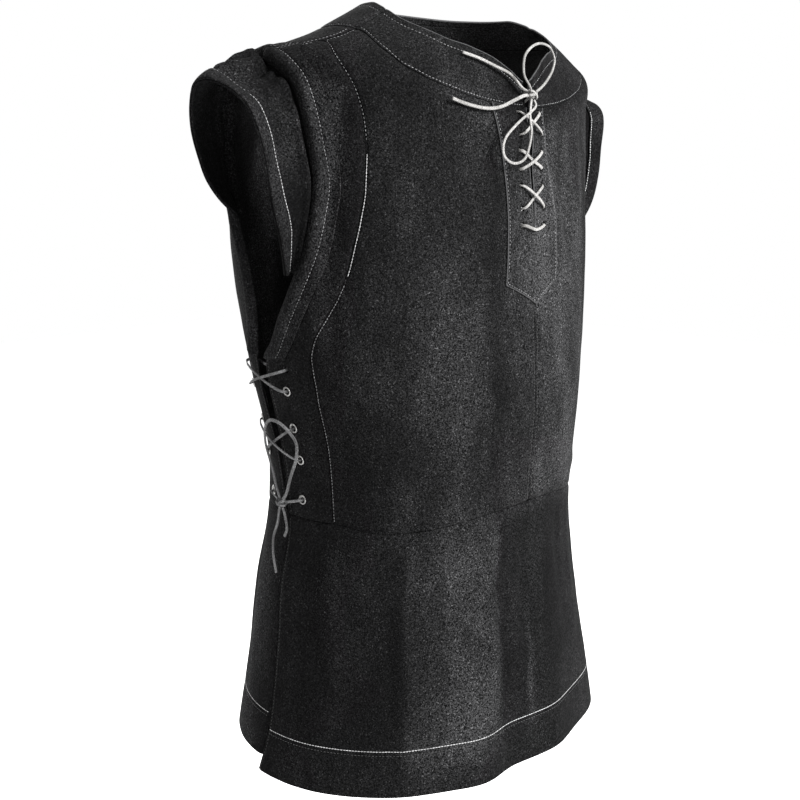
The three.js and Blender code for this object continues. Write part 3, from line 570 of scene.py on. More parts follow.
def lay_grid(name, points, s, t, attributes):
    rows, columns = points.shape[:2]
    bm = bmesh.new()
    uv = bm.loops.layers.uv.new("flat")
    bmesh.ops.create_grid(bm, x_segments=columns - 1, y_segments=rows - 1, size=0.5)
    layers = {key: bm.verts.layers.float.new(key) for key in attributes}
    for vert in bm.verts:
        c = int(round((vert.co.x + 0.5) * (columns - 1)))
        r = int(round((vert.co.y + 0.5) * (rows - 1)))
        vert.index = r * columns + c
        for key, values in attributes.items():
            vert[layers[key]] = float(values[r, c])
    width = float(run_lengths(points, 1)[0][rows // 2, -1]) * MM
    height = float(run_lengths(points, 0)[0][-1, columns // 2]) * MM
    for face in bm.faces:
        for loop in face.loops:
            r, c = divmod(loop.vert.index, columns)
            loop[uv].uv = (float(s[c]) * width, float(t[r]) * height)
        face.smooth = True
    for vert in bm.verts:
        r, c = divmod(vert.index, columns)
        vert.co = Vector(points[r, c] * MM)
    bm.normal_update()
    outward = sum(f.normal.dot(f.calc_center_median() - body_middle) * f.calc_area() for f in bm.faces)
    if outward < 0:
        bmesh.ops.reverse_faces(bm, faces=bm.faces)
    return add_mesh(name, bm)


def swell(points, seed):
    flat = points.reshape(-1, 3)
    out = np.empty(len(flat))
    for k, p in enumerate(flat):
        v = Vector(p) * swell_scale + Vector((seed, 0, 0))
        out[k] = noise.noise(v) + fine_swell * noise.noise(v * fine_swell_scale)
    return out.reshape(points.shape[:-1])


def thicken(obj, thickness, offset=-1, even=True):
    solidify = obj.modifiers.new("thickness", "SOLIDIFY")
    solidify.thickness = thickness * MM
    solidify.offset = offset
    solidify.use_even_offset = even
    return obj


print("suede, mm:", suede_thickness, "trim, mm:", trim_thickness)

# %% [markdown]
# The armhole's edge is turned over a cord, so it stands up as a roll and hangs a little over the
# sleeve. The roll is part of the band: its points rise, and then lean toward the armhole's edge.

# %% Rolled armhole edge
# how far the roll hangs over the sleeve, below the shoulder and on it
roll_overhang = (3.4, 6.0)
shoulder_start = 7.7
shoulder_reach = 0.9
armhole_roll = 12.5
roll_height = 4.2
roll_roundness = 0.7
roll_tuck = 1.3
roll_tuck_width = 1.1
lean_curve = 1.4
too_close = 2.0
columns_inward = 3


def roll_rise(distance, width, height):
    across = np.clip(distance / width, 0, 1)
    swell = height * np.sin(np.pi * across) ** roll_roundness
    return swell - roll_tuck * bell(distance, roll_tuck_width)


def toward_edge(points, edge):
    nearest = np.argmin(np.linalg.norm(points[:, :, None] - edge[None, None], axis=-1), axis=2)
    way = edge[nearest] - points
    close = np.linalg.norm(way, axis=-1) < too_close
    inner = np.roll(way, columns_inward if close[:, -1].any() else -columns_inward, axis=1)
    return unit(np.where(close[..., None], inner, way))


def roll_over(points, distance, width, level, edge):
    low, high = roll_overhang
    reach_out = low + (high - low) * ease((level - shoulder_start) / shoulder_reach)
    share = (1 - np.clip(distance / width, 0, 1)) ** lean_curve
    return points + toward_edge(points, edge) * (reach_out * share)[..., None]


print("roll, mm wide and high:", armhole_roll, roll_height)

# %% [markdown]
# Now a whole panel can be made in one call. Its sewn edges dip into the seam, its raw edges keep
# their distance for a pale rim, and each row of stitching presses a shallow groove and leaves its
# line for the needle.

# %% Make a panel
bumpiness = 0.8
dip_width = 2.4
groove_depth = 0.3
groove_width = 1.6
stitch_lines = []
sizes = {}


def row(side, gap, kind, low=-1.0, high=12.0):
    return {"side": side, "gap": gap, "kind": kind, "low": low, "high": high}


def add_stitches(line, kind):
    if len(line) > 3:
        stitch_lines.append((line, kind))


def line_at(points, distance, side, gap, level=None, seam=None):
    normals = grid_normals(points)
    if side in ("top", "bottom"):
        points, normals, distance = (a.swapaxes(0, 1) for a in (points, normals, distance))
        level = None if level is None else level.T
    line = []
    for k in range(len(points)):
        p, n, d = points[k], normals[k], distance[k]
        if d[0] > d[-1]:
            p, n, d = p[::-1], n[::-1], d[::-1]
        if not d[0] <= gap <= d[-1] - 0.4:
            continue
        if level is not None and not seam["low"] <= np.median(level[k]) <= seam["high"]:
            continue
        line.append([[np.interp(gap, d, v[:, i]) for i in range(3)] for v in (p, n)])
    return np.array(line)


def make_panel(name, panel, cell, lift=0, sewn=(), raw=(), stitched=(), thickness=suede_thickness,
               dip=0.8, relief=1.0, roll=None, open_above=None, paler=0.0):
    probe_s, probe_t = np.meshgrid(np.linspace(0, 1, 9), np.linspace(0, 1, 9))
    probe = skin(*settle(panel, probe_s, probe_t), 0)
    wide = float(run_lengths(probe, 1)[0][:, -1].max())
    long = float(run_lengths(probe, 0)[0][-1].max())
    s = crowd(int(wide / cell), wide)
    t = crowd(int(long / cell), long)
    grid_s, grid_t = np.meshgrid(s, t)
    angle, level = settle(panel, grid_s, grid_t)
    base = skin(angle, level, lift)
    reach = edge_distances(base)
    cut_edge = np.full(angle.shape, FAR)
    nearest = np.full(angle.shape, FAR)
    rise = relief * (crease_rise(angle, level) + bumpiness * swell(body_point(angle, level), 3.1))
    for side in sewn:
        rise = rise - dip * bell(reach[side], dip_width)
    for side in raw:
        cut_edge = np.minimum(cut_edge, reach[side])
    if open_above is not None:
        cut_edge = np.minimum(cut_edge, np.where(base[..., 2] > open_above, reach["left"], FAR))
    if roll:
        edge, width, height = roll
        reach["armhole"] = away_from(base, edge)
        rise = rise + roll_rise(reach["armhole"], width, height)
    for seam in stitched:
        inside = (level > seam["low"]) & (level < seam["high"])
        offset = np.where(inside, reach[seam["side"]] - seam["gap"], FAR)
        nearest = np.where(np.abs(offset) < np.abs(nearest), offset, nearest)
        rise = rise - groove_depth * bell(offset, groove_width)
    points = skin(angle, level, lift + rise)
    if roll:
        points = roll_over(points, reach["armhole"], width, level, edge)
    for seam in stitched:
        side = seam["side"] if seam["side"] != "armhole" else "left"
        add_stitches(line_at(points, reach[seam["side"]], side, seam["gap"], level, seam), seam["kind"])
    # the value holds worn nap and painted light and shade from the bands' table, plus any painted light
    # given to the piece
    values = {"rim": cut_edge, "furrow": nearest, "wear_and_light": wear_and_painted_light(angle, level) + paler}
    sizes[name] = (wide, long, surface_area(points))
    return thicken(lay_grid(name, points, s, t, values), thickness)


print("bumps, mm:", bumpiness)

# %% [markdown]
# The body is cut as two centre fronts, two side fronts and one back. Princess seams shape the
# front, and the waist seam joins the skirt. Rows of topstitching lie 2 to 3 mm from a seam, on one
# side of it only, and the hem is held by a tight row 45 mm up.

# %% Body and skirt panels
body_cell = 4.6
hem_rows = [row("bottom", 45, "tight"), row("bottom", 41, "dark")]
pieces = {}


def add_panel(node, panel, cell, **finish):
    pieces[node] = make_panel(f"{node}_skin", panel, cell, **finish)


def opening_rows(edges):
    rows = []
    for edge in edges:
        rows += [row(edge, 3.4, "dark", 0, 8.9), row(edge, 3.0, "grey", 8.95)]
    return rows


for side, sign in sides.items():
    centre_front = {"left": slit_edge(sign), "right": side_edge(uprights, PRINCESS, sign, -seam_angle),
                    "bottom": above_waist, "top": below_collar}
    add_panel(
        f"front_{side}", centre_front, body_cell, sewn=("left", "right", "bottom", "top"), dip=1.2,
        stitched=[row("left", 2.8, "dark"), row("right", 1.7, "grey", 7.6),
                  row("right", 1.7, "tight", 5.9, 7.6), row("right", 1.7, "long", 2, 5.9)],
    )
    side_front = {"left": side_edge(uprights, PRINCESS, sign, seam_angle),
                  "right": side_edge(uprights, FRONT_EDGE, sign, -seam_angle),
                  "bottom": above_waist, "top": flat_level(9.5)}
    add_panel(
        f"side_front_{side}", side_front, body_cell, sewn=("left", "bottom"),
        stitched=opening_rows(["right"]),
    )
back = {"left": side_edge(uprights, BACK_EDGE, 1, seam_angle), "right": far_edge(uprights, BACK_EDGE),
        "bottom": above_waist, "top": below_collar}
add_panel("back", back, body_cell, sewn=("bottom", "top"), stitched=opening_rows(["left", "right"]))
skirt_front = {"left": side_edge(skirt_sides, 1, -1, -seam_angle),
               "right": side_edge(skirt_sides, 1, 1, -seam_angle),
               "bottom": flat_level(0), "top": below_waist}
add_panel(
    "skirt_front", skirt_front, body_cell, sewn=("left", "right", "top"), dip=1.3,
    stitched=[*hem_rows, row("left", 3.0, "dark"), row("right", 3.0, "dark")],
)
skirt_back = {"left": side_edge(skirt_sides, 2, 1, seam_angle), "right": far_edge(skirt_sides, 2),
              "bottom": seam_at(back_hem), "top": below_waist}
add_panel("skirt_back", skirt_back, body_cell, sewn=("left", "right", "top"), dip=1.3, stitched=hem_rows)
print("body panels:", ", ".join(pieces))

# %% [markdown]
# Bands finish the neck and the armholes, and a five-sided placket backs the neck slit. They are
# cut from the same suede and lie on the panels, so they are laid on the same form a little higher.

# %% Collar, placket and armhole bands
collar_lift = 0.5
trim_lift = collar_lift + suede_thickness
trim_cell = 3.6
placket_cell = 3.0
band_bottom = 5.13
band_top = 9.35
armhole_top = 8.95
armhole_samples = 900
collar_rows = [row("bottom", 2.0, "grey"), row("top", 8.4, "grey")]


def armhole_edge(sign):
    level = np.linspace(band_bottom, armhole_top, armhole_samples)
    angle = np.concatenate([look_up(uprights, level, FRONT_EDGE), look_up(uprights, level, BACK_EDGE)])
    return skin(sign * angle, np.concatenate([level, level]), trim_lift)


for side, sign in sides.items():
    half_collar = {"left": slit_edge(sign), "right": side_edge(uprights, PRINCESS, sign, -seam_angle),
                   "bottom": above_collar, "top": seam_at(neck_edge)}
    add_panel(
        f"collar_front_{side}", half_collar, trim_cell, lift=collar_lift, sewn=("bottom", "right"),
        relief=0.5, raw=("top",), stitched=[*collar_rows, row("left", 3.2, "dark")],
    )
    edge = armhole_edge(sign)
    # column and gap of the left edge, then of the right one, and the edge on the armhole
    for part, left, left_gap, right, right_gap, armhole_side in (
            ("front", FRONT_BAND, 0.0, FRONT_EDGE, -seam_angle, "right"),
            ("back", BACK_EDGE, seam_angle, BACK_BAND, 0.0, "left")):
        band = {"left": side_edge(uprights, left, sign, left_gap),
                "right": side_edge(uprights, right, sign, right_gap),
                "bottom": flat_level(band_bottom), "top": flat_level(band_top)}
        # painted light: each band's value is raised by 0.12, so it stands pale against the shaded recess
        # beside it
        add_panel(
            f"armhole_band_{part}_{side}", band, trim_cell, lift=trim_lift, thickness=trim_thickness,
            stitched=[row("armhole", armhole_roll + 0.5, "grey"), row(armhole_side, 3.0, "grey", 9.05)],
            roll=(edge, armhole_roll, roll_height), paler=0.12,
        )
collar = {"left": side_edge(uprights, BACK_EDGE, 1, seam_angle), "right": far_edge(uprights, BACK_EDGE),
          "bottom": above_collar, "top": seam_at(neck_edge)}
# painted light: the back collar's value is raised by 0.2, because its inside gets little light from the
# lamps
add_panel(
    "collar_back", collar, trim_cell, lift=collar_lift, sewn=("left", "right", "bottom"),
    relief=0.5, raw=("top",), stitched=collar_rows, paler=0.2,
)


def placket_bottom(angle):
    corner_right, corner_left = (look_up(placket_sides, placket_corner, column) for column in (1, 2))
    corner = np.where(angle < 0, corner_right, corner_left)
    return mix(placket_tip, placket_corner, np.clip(angle / corner, 0, 1))


def placket_split(sign):
    def split(level):
        return sign * np.where(body_point(0, level)[..., 2] > slit_bottom, slit_angle(level), 0)

    return split


placket_halves = []
for side, sign, table_column in (("right", -1, 1), ("left", 1, 2)):
    half = {"left": placket_split(sign), "right": side_edge(placket_sides, table_column),
            "bottom": placket_bottom, "top": seam_at(collar_seam, -0.02)}
    placket_halves.append(make_panel(
        f"placket_{side}_skin", half, placket_cell, lift=trim_lift, thickness=trim_thickness,
        open_above=slit_bottom, raw=("right", "bottom"),
        stitched=[row("right", 2.2, "grey"), row("bottom", 2.2, "grey")],
    ))
print("trim pieces:", len(pieces) + len(placket_halves))

# %% [markdown]
# The placket is one piece, split only as far down as the slit. Its two halves were laid apart, and
# joining the points that meet below the slit makes them one piece of suede again.

# %% Join the placket
def join(name, objects):
    bm = bmesh.new()
    for obj in objects:
        bm.from_mesh(obj.data)
    bmesh.ops.remove_doubles(bm, verts=bm.verts, dist=0.0002)
    joined = add_mesh(name, bm)
    for obj in objects:
        bpy.data.objects.remove(obj)
    return joined


pieces["placket"] = thicken(join("placket_skin", placket_halves), trim_thickness)
print("placket corners:", len(pieces["placket"].data.vertices))

# %% [markdown]
# A cap sleeve is one strip of suede set into the armhole. It leaves the seam, rises over the
# shoulder and ends in a turned band. Stations run round the armhole, each with the edge it is sewn
# to and the place of its rim, and a bent line joins the two.

# %% The cut of the cap sleeves
# angle and level of the armhole edge, then X, Y and Z of the rim, for the wearer's right
cap_rim = np.array([
    [79.8, 6.05, -210, -8, -219], [77.0, 6.3, -219, -16, -205], [74.8, 6.65, -230, -24, -185],
    [73.5, 7.0, -241, -29, -162], [74.6, 7.35, -248, -31, -134], [76.4, 7.7, -253, -30, -105],
    [79.1, 8.05, -262, -27, -79], [83.4, 8.4, -271, -18, -64], [87.8, 8.7, -279, -1, -55],
    [91.4, 8.95, -280, 17, -56], [96.5, 8.7, -274, 31, -64], [100.3, 8.4, -266, 44, -78],
    [103.2, 8.05, -258, 53, -95], [105.0, 7.7, -249, 57, -115], [105.2, 7.35, -240, 58, -135],
    [104.0, 7.0, -228, 55, -153], [101.0, 6.65, -214, 50, -167],
])
# station, share of the way out, half width in stations, half width in shares, rise
cap_creases = [
    (7.5, 0.17, 0.3, 0.15, -9.5), (8.05, 0.3, 0.2, 0.2, 3.4), (8.6, 0.15, 0.26, 0.13, -8.0),
    (9.2, 0.3, 0.35, 0.2, 2.4), (6.8, 0.14, 0.26, 0.12, -6.0), (6.2, 0.26, 0.28, 0.2, 2.2),
    (5.5, 0.2, 0.3, 0.16, -3.4), (4.4, 0.26, 0.4, 0.2, -2.4), (9.9, 0.16, 0.28, 0.14, -6.0),
    (10.8, 0.26, 0.4, 0.2, 2.2), (11.8, 0.18, 0.35, 0.16, -4.0), (13.6, 0.2, 0.5, 0.2, -3.0),
    (2.4, 0.5, 0.7, 0.4, 1.8), (8.0, 0.82, 1.6, 0.2, -1.6),
]
# share of the way out, half width in shares and rise of the two soft swells along the sleeve
cap_swells = [(0.13, 0.11, 7.5), (0.34, 0.16, 3.0)]
# the sleeve starts under the panel: its wall, a gap, half the sleeve's own wall and some air
wall_under = -(2.0 + 0.3 + 0.8 + 1.5)
arm_centre = np.array([225.0, 12.0, -135.0])
cap_stations = 110
cap_columns = 30
# how far the strip is tucked in, runs flat and bends past the armhole's edge
cap_tuck = 3.5
cap_flat = 1.2
cap_bend = 5.5
# the direction in which the bent line first leaves the seam: along the form and away from it
cap_leave_along = 0.62
cap_leave_away = 0.78
cap_flat_share = 0.09
cap_band_width = 19
cap_band_steps = 10
cap_band_gap = 1.6
bright_share = 0.42


def smooth_rows(table, count):
    k = np.linspace(0, len(table) - 1, count)
    i = np.minimum(k.astype(int), len(table) - 2)
    f = (k - i)[:, None]
    near = (table[np.clip(i + d, 0, len(table) - 1)] for d in (-1, 0, 1, 2))
    return k, curve_between(*near, f)


print("stations of the rim:", len(cap_rim), "puckers:", len(cap_creases))

# %% [markdown]
# The strip's first two columns lie under the panel. From there a bent line carries it out over the
# shoulder to its rim. Puckers and swells then push it along its own direction, not the body's,
# because a sleeve stands away from the body.

# %% Cap sleeves
def cap_grid(sign):
    k, rows = smooth_rows(cap_rim, cap_stations)
    angle, level = sign * rows[:, 0], rows[:, 1]
    edge = body_point(angle, level)
    normal = body_normal(angle, level)
    along = unit(np.gradient(edge, axis=0))
    out = unit(np.cross(along, normal)) * sign
    rim = rows[:, 2:] * np.array([-sign, 1, 1])
    bend = edge + out * cap_bend + normal * (wall_under + 0.8)
    span = np.linalg.norm(rim - bend, axis=1)[:, None]
    pull = bend + (cap_leave_along * out + cap_leave_away * normal) * 0.5 * span
    columns = [edge - out * cap_tuck + normal * wall_under, edge + out * cap_flat + normal * wall_under]
    for share in np.linspace(0, 1, cap_columns - 2):
        columns.append((1 - share) ** 2 * bend + 2 * share * (1 - share) * pull + share**2 * rim)
    grid = np.stack(columns, axis=1)
    face = grid_normals(grid)
    from_arm = grid[:, 8:] - arm_centre * np.array([sign, 1, 1])
    face = face * np.sign((face[:, 8:] * from_arm).sum(-1).mean())
    shares = np.concatenate([[0, 0], np.linspace(0, 1, cap_columns - 2)])
    fade = np.clip(shares / cap_flat_share, 0, 1)
    rise = bumpiness * 0.8 * swell(grid, 5.7)
    for share, deep, height in cap_swells:
        rise = rise + height * bell(shares - share, deep)
    for at, share, wide, deep, height in cap_creases:
        rise = rise + height * bell(k - at, wide)[:, None] * bell(shares - share, deep)
    return grid, face, rise * fade, span


def make_cap(side, sign):
    grid, face, rise, span = cap_grid(sign)
    middle = grid + face * rise[..., None]
    reach = edge_distances(middle)
    plain = np.full(rise.shape, FAR)
    s = np.linspace(0, 1, grid.shape[1])
    t = np.linspace(0, 1, grid.shape[0])
    patchy = 0.3 * swell(grid, 11.3) - 0.05
    name = f"cap_{side}"
    cap = lay_grid(f"{name}_skin", middle, s, t, {"rim": plain, "furrow": plain, "wear_and_light": patchy})
    pieces[name] = thicken(cap, suede_thickness, 0, even=False)
    wide, long = float(reach["left"][:, -1].max()), float(reach["bottom"][-1].max())
    sizes[f"{name}_skin"] = (wide, long, surface_area(middle))
    make_cap_band(f"cap_band_{side}", middle, face, span, reach["right"], t)


def make_cap_band(name, middle, face, span, reach, t):
    wide = np.minimum(cap_band_width, 0.55 * span[:, 0])
    rows = []
    for share in np.linspace(0, 1, cap_band_steps):
        at = wide * (1 - share)
        swollen = 1.5 + 1.6 * math.sin(math.pi * (0.06 + 0.9 * share)) ** 0.7
        band = middle + face * swollen
        rows.append([[np.interp(a, d[::-1], p[::-1, i]) for i in range(3)]
                     for a, d, p in zip(at, reach, band)])
    strip = np.array(rows).transpose(1, 0, 2)
    own = edge_distances(strip)
    values = {"rim": np.full(own["left"].shape, FAR), "furrow": own["left"] - cap_band_gap,
              "wear_and_light": 0.12 + 0.25 * swell(strip, 7.7)}
    band_skin = lay_grid(f"{name}_skin", strip, np.linspace(0, 1, cap_band_steps), t, values)
    pieces[name] = thicken(band_skin, trim_thickness, 0, even=False)
    sizes[f"{name}_skin"] = (float(cap_band_width), float(own["bottom"][-1].max()), surface_area(strip))
    line = line_at(strip, own["left"], "left", cap_band_gap)
    line[:, 1] = face[:len(line), -3]
    line[:, 0] += line[:, 1] * 0.7
    change = int(len(line) * bright_share)
    add_stitches(line[:change + 1], "tight")
    add_stitches(line[change:], "grey")


for side, sign in sides.items():
    make_cap(side, sign)
print("cap sleeve, mm:", [round(v) for v in sizes["cap_right_skin"][:2]])

# %% [markdown]
# Topstitching is what makes a seam look sewn. Each stitch is a tiny spindle of thread that lies
# along its line, half sunk in the nap. The round-ball operator makes each one from 20 faces, drawn
# out long, and all lines of one thread are gathered into one mesh, so many stitches cost little.

# %% Topstitching
# stitch length, pitch and half thickness in millimetres
stitch_kinds = {
    "grey": (2.3, 3.5, 0.38), "dark": (2.4, 3.4, 0.3),
    "tight": (3.0, 2.9, 0.42), "long": (2.6, 3.1, 0.36),
}
stitch_flatness = 0.7
stitch_lift = 0.12
body_centre = np.array([0, 20, -300.0])


def even_points(line, pitch):
    place, normal = line[:, 0], line[:, 1]
    run = np.concatenate([[0], np.cumsum(np.linalg.norm(np.diff(place, axis=0), axis=1))])
    at = np.arange(pitch, run[-1] - pitch, pitch)

    def pick(values, where):
        return np.stack([np.interp(where, run, values[:, i]) for i in range(3)], -1)

    return pick(place, at), unit(pick(place, at + 0.5) - pick(place, at)), unit(pick(normal, at))


def sew(line, kind, thread):
    stitch_length, pitch, radius = stitch_kinds[kind]
    flip = np.sign((line[:, 1] * (line[:, 0] - body_centre)).sum(-1).mean())
    places, directions, normals = even_points(line, pitch)
    for place, direction, normal in zip(places, directions, normals * flip):
        lay = Matrix.Identity(4)
        across = np.cross(normal, direction)
        for i in range(3):
            lay[i][0] = across[i]
            lay[i][1] = normal[i] * stitch_flatness
            lay[i][2] = direction[i] * stitch_length / 2 / radius
            lay[i][3] = (place[i] + normal[i] * stitch_lift) * MM
        bmesh.ops.create_icosphere(thread, subdivisions=1, radius=radius * MM, matrix=lay)
    return len(places)


topstitching = {}
for kind in stitch_kinds:
    count = 0
    gathered = bmesh.new()
    for line, line_kind in stitch_lines:
        if line_kind != kind:
            continue
        thread = bmesh.new()
        count += sew(line, kind, thread)
        spare = bpy.data.meshes.new("line")
        thread.to_mesh(spare)
        thread.free()
        gathered.from_mesh(spare)
        bpy.data.meshes.remove(spare)
    topstitching[kind] = add_mesh(f"topstitching_{kind}", gathered)
    print(kind, "stitches:", count)

# %% [markdown]
# Holes for the laces are punched through the suede. A boolean with a few thin cylinders cuts them,
# and the result is kept as a plain mesh, so nothing has to be cut again later.

# %% Punched holes
hole_radius = 2.9
eyelet_hole_radius = 3.6
punch_depth = 16


def slit_hole_angle(level):
    return math.degrees(math.atan(hole_from_centre / float(front_depth(level))))


def turn_to(normal):
    return Vector((0, 0, 1)).rotation_difference(Vector(normal)).to_matrix().to_4x4()


def punch(obj, holes, radius):
    bm = bmesh.new()
    for angle, level in holes:
        at = Vector(body_point(angle, level) * MM)
        matrix = Matrix.Translation(at) @ turn_to(body_normal(angle, level))
        bmesh.ops.create_cone(bm, cap_ends=True, segments=20, radius1=radius * MM, radius2=radius * MM,
                              depth=punch_depth * MM, matrix=matrix)
    tool = add_mesh("punches", bm)
    cut = obj.modifiers.new("holes", "BOOLEAN")
    cut.object = tool
    cut.solver = "EXACT"
    done = bpy.data.meshes.new_from_object(obj.evaluated_get(bpy.context.evaluated_depsgraph_get()))
    obj.modifiers.clear()
    obj.data = done
    bpy.data.objects.remove(tool)
    return len(holes)


punched = 0
for side, sign in sides.items():
    slit_holes = [(sign * slit_hole_angle(level), level) for level in slit_hole_levels]
    punched += punch(pieces[f"front_{side}"], slit_holes, hole_radius)
    front = [(sign * angle, level) for angle, level in side_holes["front"]]
    punched += punch(pieces[f"side_front_{side}"], front, eyelet_hole_radius)
both = [(sign * angle, level) for sign in sides.values() for angle, level in side_holes["back"]]
punched += punch(pieces["back"], both, eyelet_hole_radius)
both = [(sign * slit_hole_angle(level), level) for sign in sides.values() for level in slit_hole_levels]
punched += punch(pieces["placket"], both, hole_radius)
print("holes:", punched)

# %% [markdown]
# Metal eyelets line the holes of the side openings. Each is a small profile spun round its axis:
# a barrel through the suede and a rolled flange on top.

# %% Eyelets
# distance from the axis and height above the suede
eyelet_profile = [
    (3.05, -2.3), (3.4, -2.3), (3.4, 0.35), (4.5, 0.25), (4.85, 0.45), (4.8, 0.8), (4.35, 1.15),
    (3.85, 1.2), (3.4, 0.95), (3.1, 0.4),
]
eyelet_steps = 28
eyelet_lift = 0.1


def make_eyelet(name, angle, level):
    bm = bmesh.new()
    verts = [bm.verts.new((r * MM, 0, z * MM)) for r, z in eyelet_profile]
    edges = [bm.edges.new((verts[k], verts[(k + 1) % len(verts)])) for k in range(len(verts))]
    bmesh.ops.spin(bm, geom=verts + edges, cent=(0, 0, 0), axis=(0, 0, 1), angle=math.tau,
                   steps=eyelet_steps, use_merge=True)
    bmesh.ops.remove_doubles(bm, verts=bm.verts, dist=1e-6)
    bmesh.ops.recalc_face_normals(bm, faces=bm.faces)
    rise = float(crease_rise(angle, level)) + eyelet_lift
    place = Matrix.Translation(Vector(skin(angle, level, rise) * MM))
    bmesh.ops.transform(bm, matrix=place @ turn_to(body_normal(angle, level)), verts=bm.verts)
    for face in bm.faces:
        face.smooth = True
    return add_mesh(f"{name}_ring", bm, name)


eyelets = {}
for side, sign in sides.items():
    for edge in ("front", "back"):
        for k, (angle, level) in enumerate(side_holes[edge][1:], 1):
            node = f"eyelet_{edge}_{side}_{k}"
            eyelets[node] = make_eyelet(node, sign * angle, level)
print("eyelets:", len(eyelets))

# %% [markdown]
# The laces are flat thongs of suede. A thong is made by carrying a small ring of points along its
# route: the ring is extruded again and again and laid across the path, with its flat side to the
# cloth. Threaded lengths pass the holes in turn, and the free ends leave the knot.

# %% A flat thong along a route
corner_count = 12
# how square the thong's section is, across its width and through its thickness
side_square = 0.45
face_square = 0.7
width_swing = 0.07
body_axis_y = 20
shoulder_height = -100


def route_curve(points, per_span):
    p = np.array(points, float)
    p = np.vstack([2 * p[0] - p[1], p, 2 * p[-1] - p[-2]])
    out = []
    for k in range(1, len(p) - 2):
        knots = [0.0]
        for a, b in ((k - 1, k), (k, k + 1), (k + 1, k + 2)):
            knots.append(knots[-1] + max(np.linalg.norm(p[b] - p[a]), 1e-6) ** 0.5)
        t0, t1, t2, t3 = knots
        for t in np.linspace(t1, t2, per_span, endpoint=False):
            a1 = (t1 - t) / (t1 - t0) * p[k - 1] + (t - t0) / (t1 - t0) * p[k]
            a2 = (t2 - t) / (t2 - t1) * p[k] + (t - t1) / (t2 - t1) * p[k + 1]
            a3 = (t3 - t) / (t3 - t2) * p[k + 1] + (t - t2) / (t3 - t2) * p[k + 2]
            b1 = (t2 - t) / (t2 - t0) * a1 + (t - t0) / (t2 - t0) * a2
            b2 = (t3 - t) / (t3 - t1) * a2 + (t - t1) / (t3 - t1) * a3
            out.append((t2 - t) / (t2 - t1) * b1 + (t - t1) / (t2 - t1) * b2)
    out.append(p[-2])
    return np.array(out)


def thong_frames(path, away):
    tangent = unit(np.gradient(path, axis=0))
    across = []
    last = None
    for p, t in zip(path, tangent):
        n = away(p)
        w = np.cross(t, n)
        weight = np.linalg.norm(w)
        if last is not None:
            carried = last - t * np.dot(last, t)
            if np.dot(carried, w) < 0:
                w = -w
            w = carried / max(np.linalg.norm(carried), 1e-9) + 0.5 * weight * w
        last = w / max(np.linalg.norm(w), 1e-9)
        across.append(last)
    return tangent, np.array(across)


def cloth_away(p):
    flat = np.array([p[0], p[1] - body_axis_y, 0.0])
    if p[2] > shoulder_height:
        flat[2] = 55
    return flat / np.linalg.norm(flat)


def next_ring(bm, ring, loop_edges):
    made = bmesh.ops.extrude_edge_only(bm, edges=loop_edges)["geom"]
    pairs = {}
    for vert in made:
        if isinstance(vert, bmesh.types.BMVert):
            for edge in vert.link_edges:
                other = edge.other_vert(vert)
                if other in ring:
                    pairs[other] = vert
    return [pairs[v] for v in ring], [g for g in made if isinstance(g, bmesh.types.BMEdge)]


def make_thong(name, points, width, thickness, per_span):
    path = route_curve(points, per_span)
    tangent, across = thong_frames(path, cloth_away)
    bm = bmesh.new()
    nap = bm.verts.layers.float.new("wear_and_light")
    ring = bmesh.ops.create_circle(bm, segments=corner_count, radius=1)["verts"]
    shape = []
    for k in range(corner_count):
        turn = math.tau * (k + 0.5) / corner_count
        x = math.copysign(abs(math.cos(turn)) ** side_square, math.cos(turn)) * width / 2
        y = math.copysign(abs(math.sin(turn)) ** face_square, math.sin(turn)) * thickness / 2
        shape.append((x, y))
    loop_edges = list(bm.edges)
    cap_start = list(ring)
    for k, (p, t, w) in enumerate(zip(path, tangent, across)):
        if k:
            ring, loop_edges = next_ring(bm, ring, loop_edges)
        n = np.cross(w, t)
        swing = 1 + width_swing * noise.noise(Vector(p) * 0.11)
        for vert, (x, y) in zip(ring, shape):
            vert.co = Vector((p + w * x * swing + n * y) * MM)
            # painted shade: the value falls toward both edges, so each thong's edges are painted as dark
            # shadow lines
            vert[nap] = 1.15 - 1.1 * abs(2 * x / width) ** 4
    for end in (cap_start, ring):
        bmesh.ops.contextual_create(bm, geom=end)
    bmesh.ops.recalc_face_normals(bm, faces=bm.faces)
    for face in bm.faces:
        face.smooth = len(face.verts) == 4
    length = float(np.linalg.norm(np.diff(path, axis=0), axis=1).sum())
    return add_mesh(name, bm), path, length


print("thong corners:", corner_count)

# %% [markdown]
# A lace enters and leaves its holes in turn, and crosses over the opening between them. Each hole is
# passed by three points: beside it on one face, in its middle, and beside it on the other. Where
# two lengths cross, the later one rides a thong's thickness higher.

# %% Threading a lace through its holes
lace_radius = 1.3
beside_hole = 1.9
knot_radii = np.array([5.7, 3.6, 4.5])


def leave_knot(knot, toward):
    centre, normal = knot
    way = unit(np.asarray(toward, float) - centre)
    turn = Vector((0, 1, 0)).rotation_difference(Vector(normal)).inverted()
    local = np.array(turn @ Vector(way)) / knot_radii
    return centre + way * (1 / np.linalg.norm(local) + 0.3)


def from_knot(knot, points):
    return [leave_knot(knot, points[0]), *points]


def loop_at_knot(knot, points):
    return [*from_knot(knot, points), leave_knot(knot, points[-1])]


def pass_hole(hole, start, toward, outside, inside, inward):
    angle, level = hole
    normal = body_normal(angle, level)

    def beside(target, lift):
        spot = skin(angle, level, lift)
        way = np.asarray(target) - spot
        way = way - normal * np.dot(way, normal)
        return spot + unit(way) * beside_hole

    first, second = (outside, inside) if inward else (inside, outside)
    return [beside(start, first), skin(angle, level, (outside + inside) / 2), beside(toward, second)]


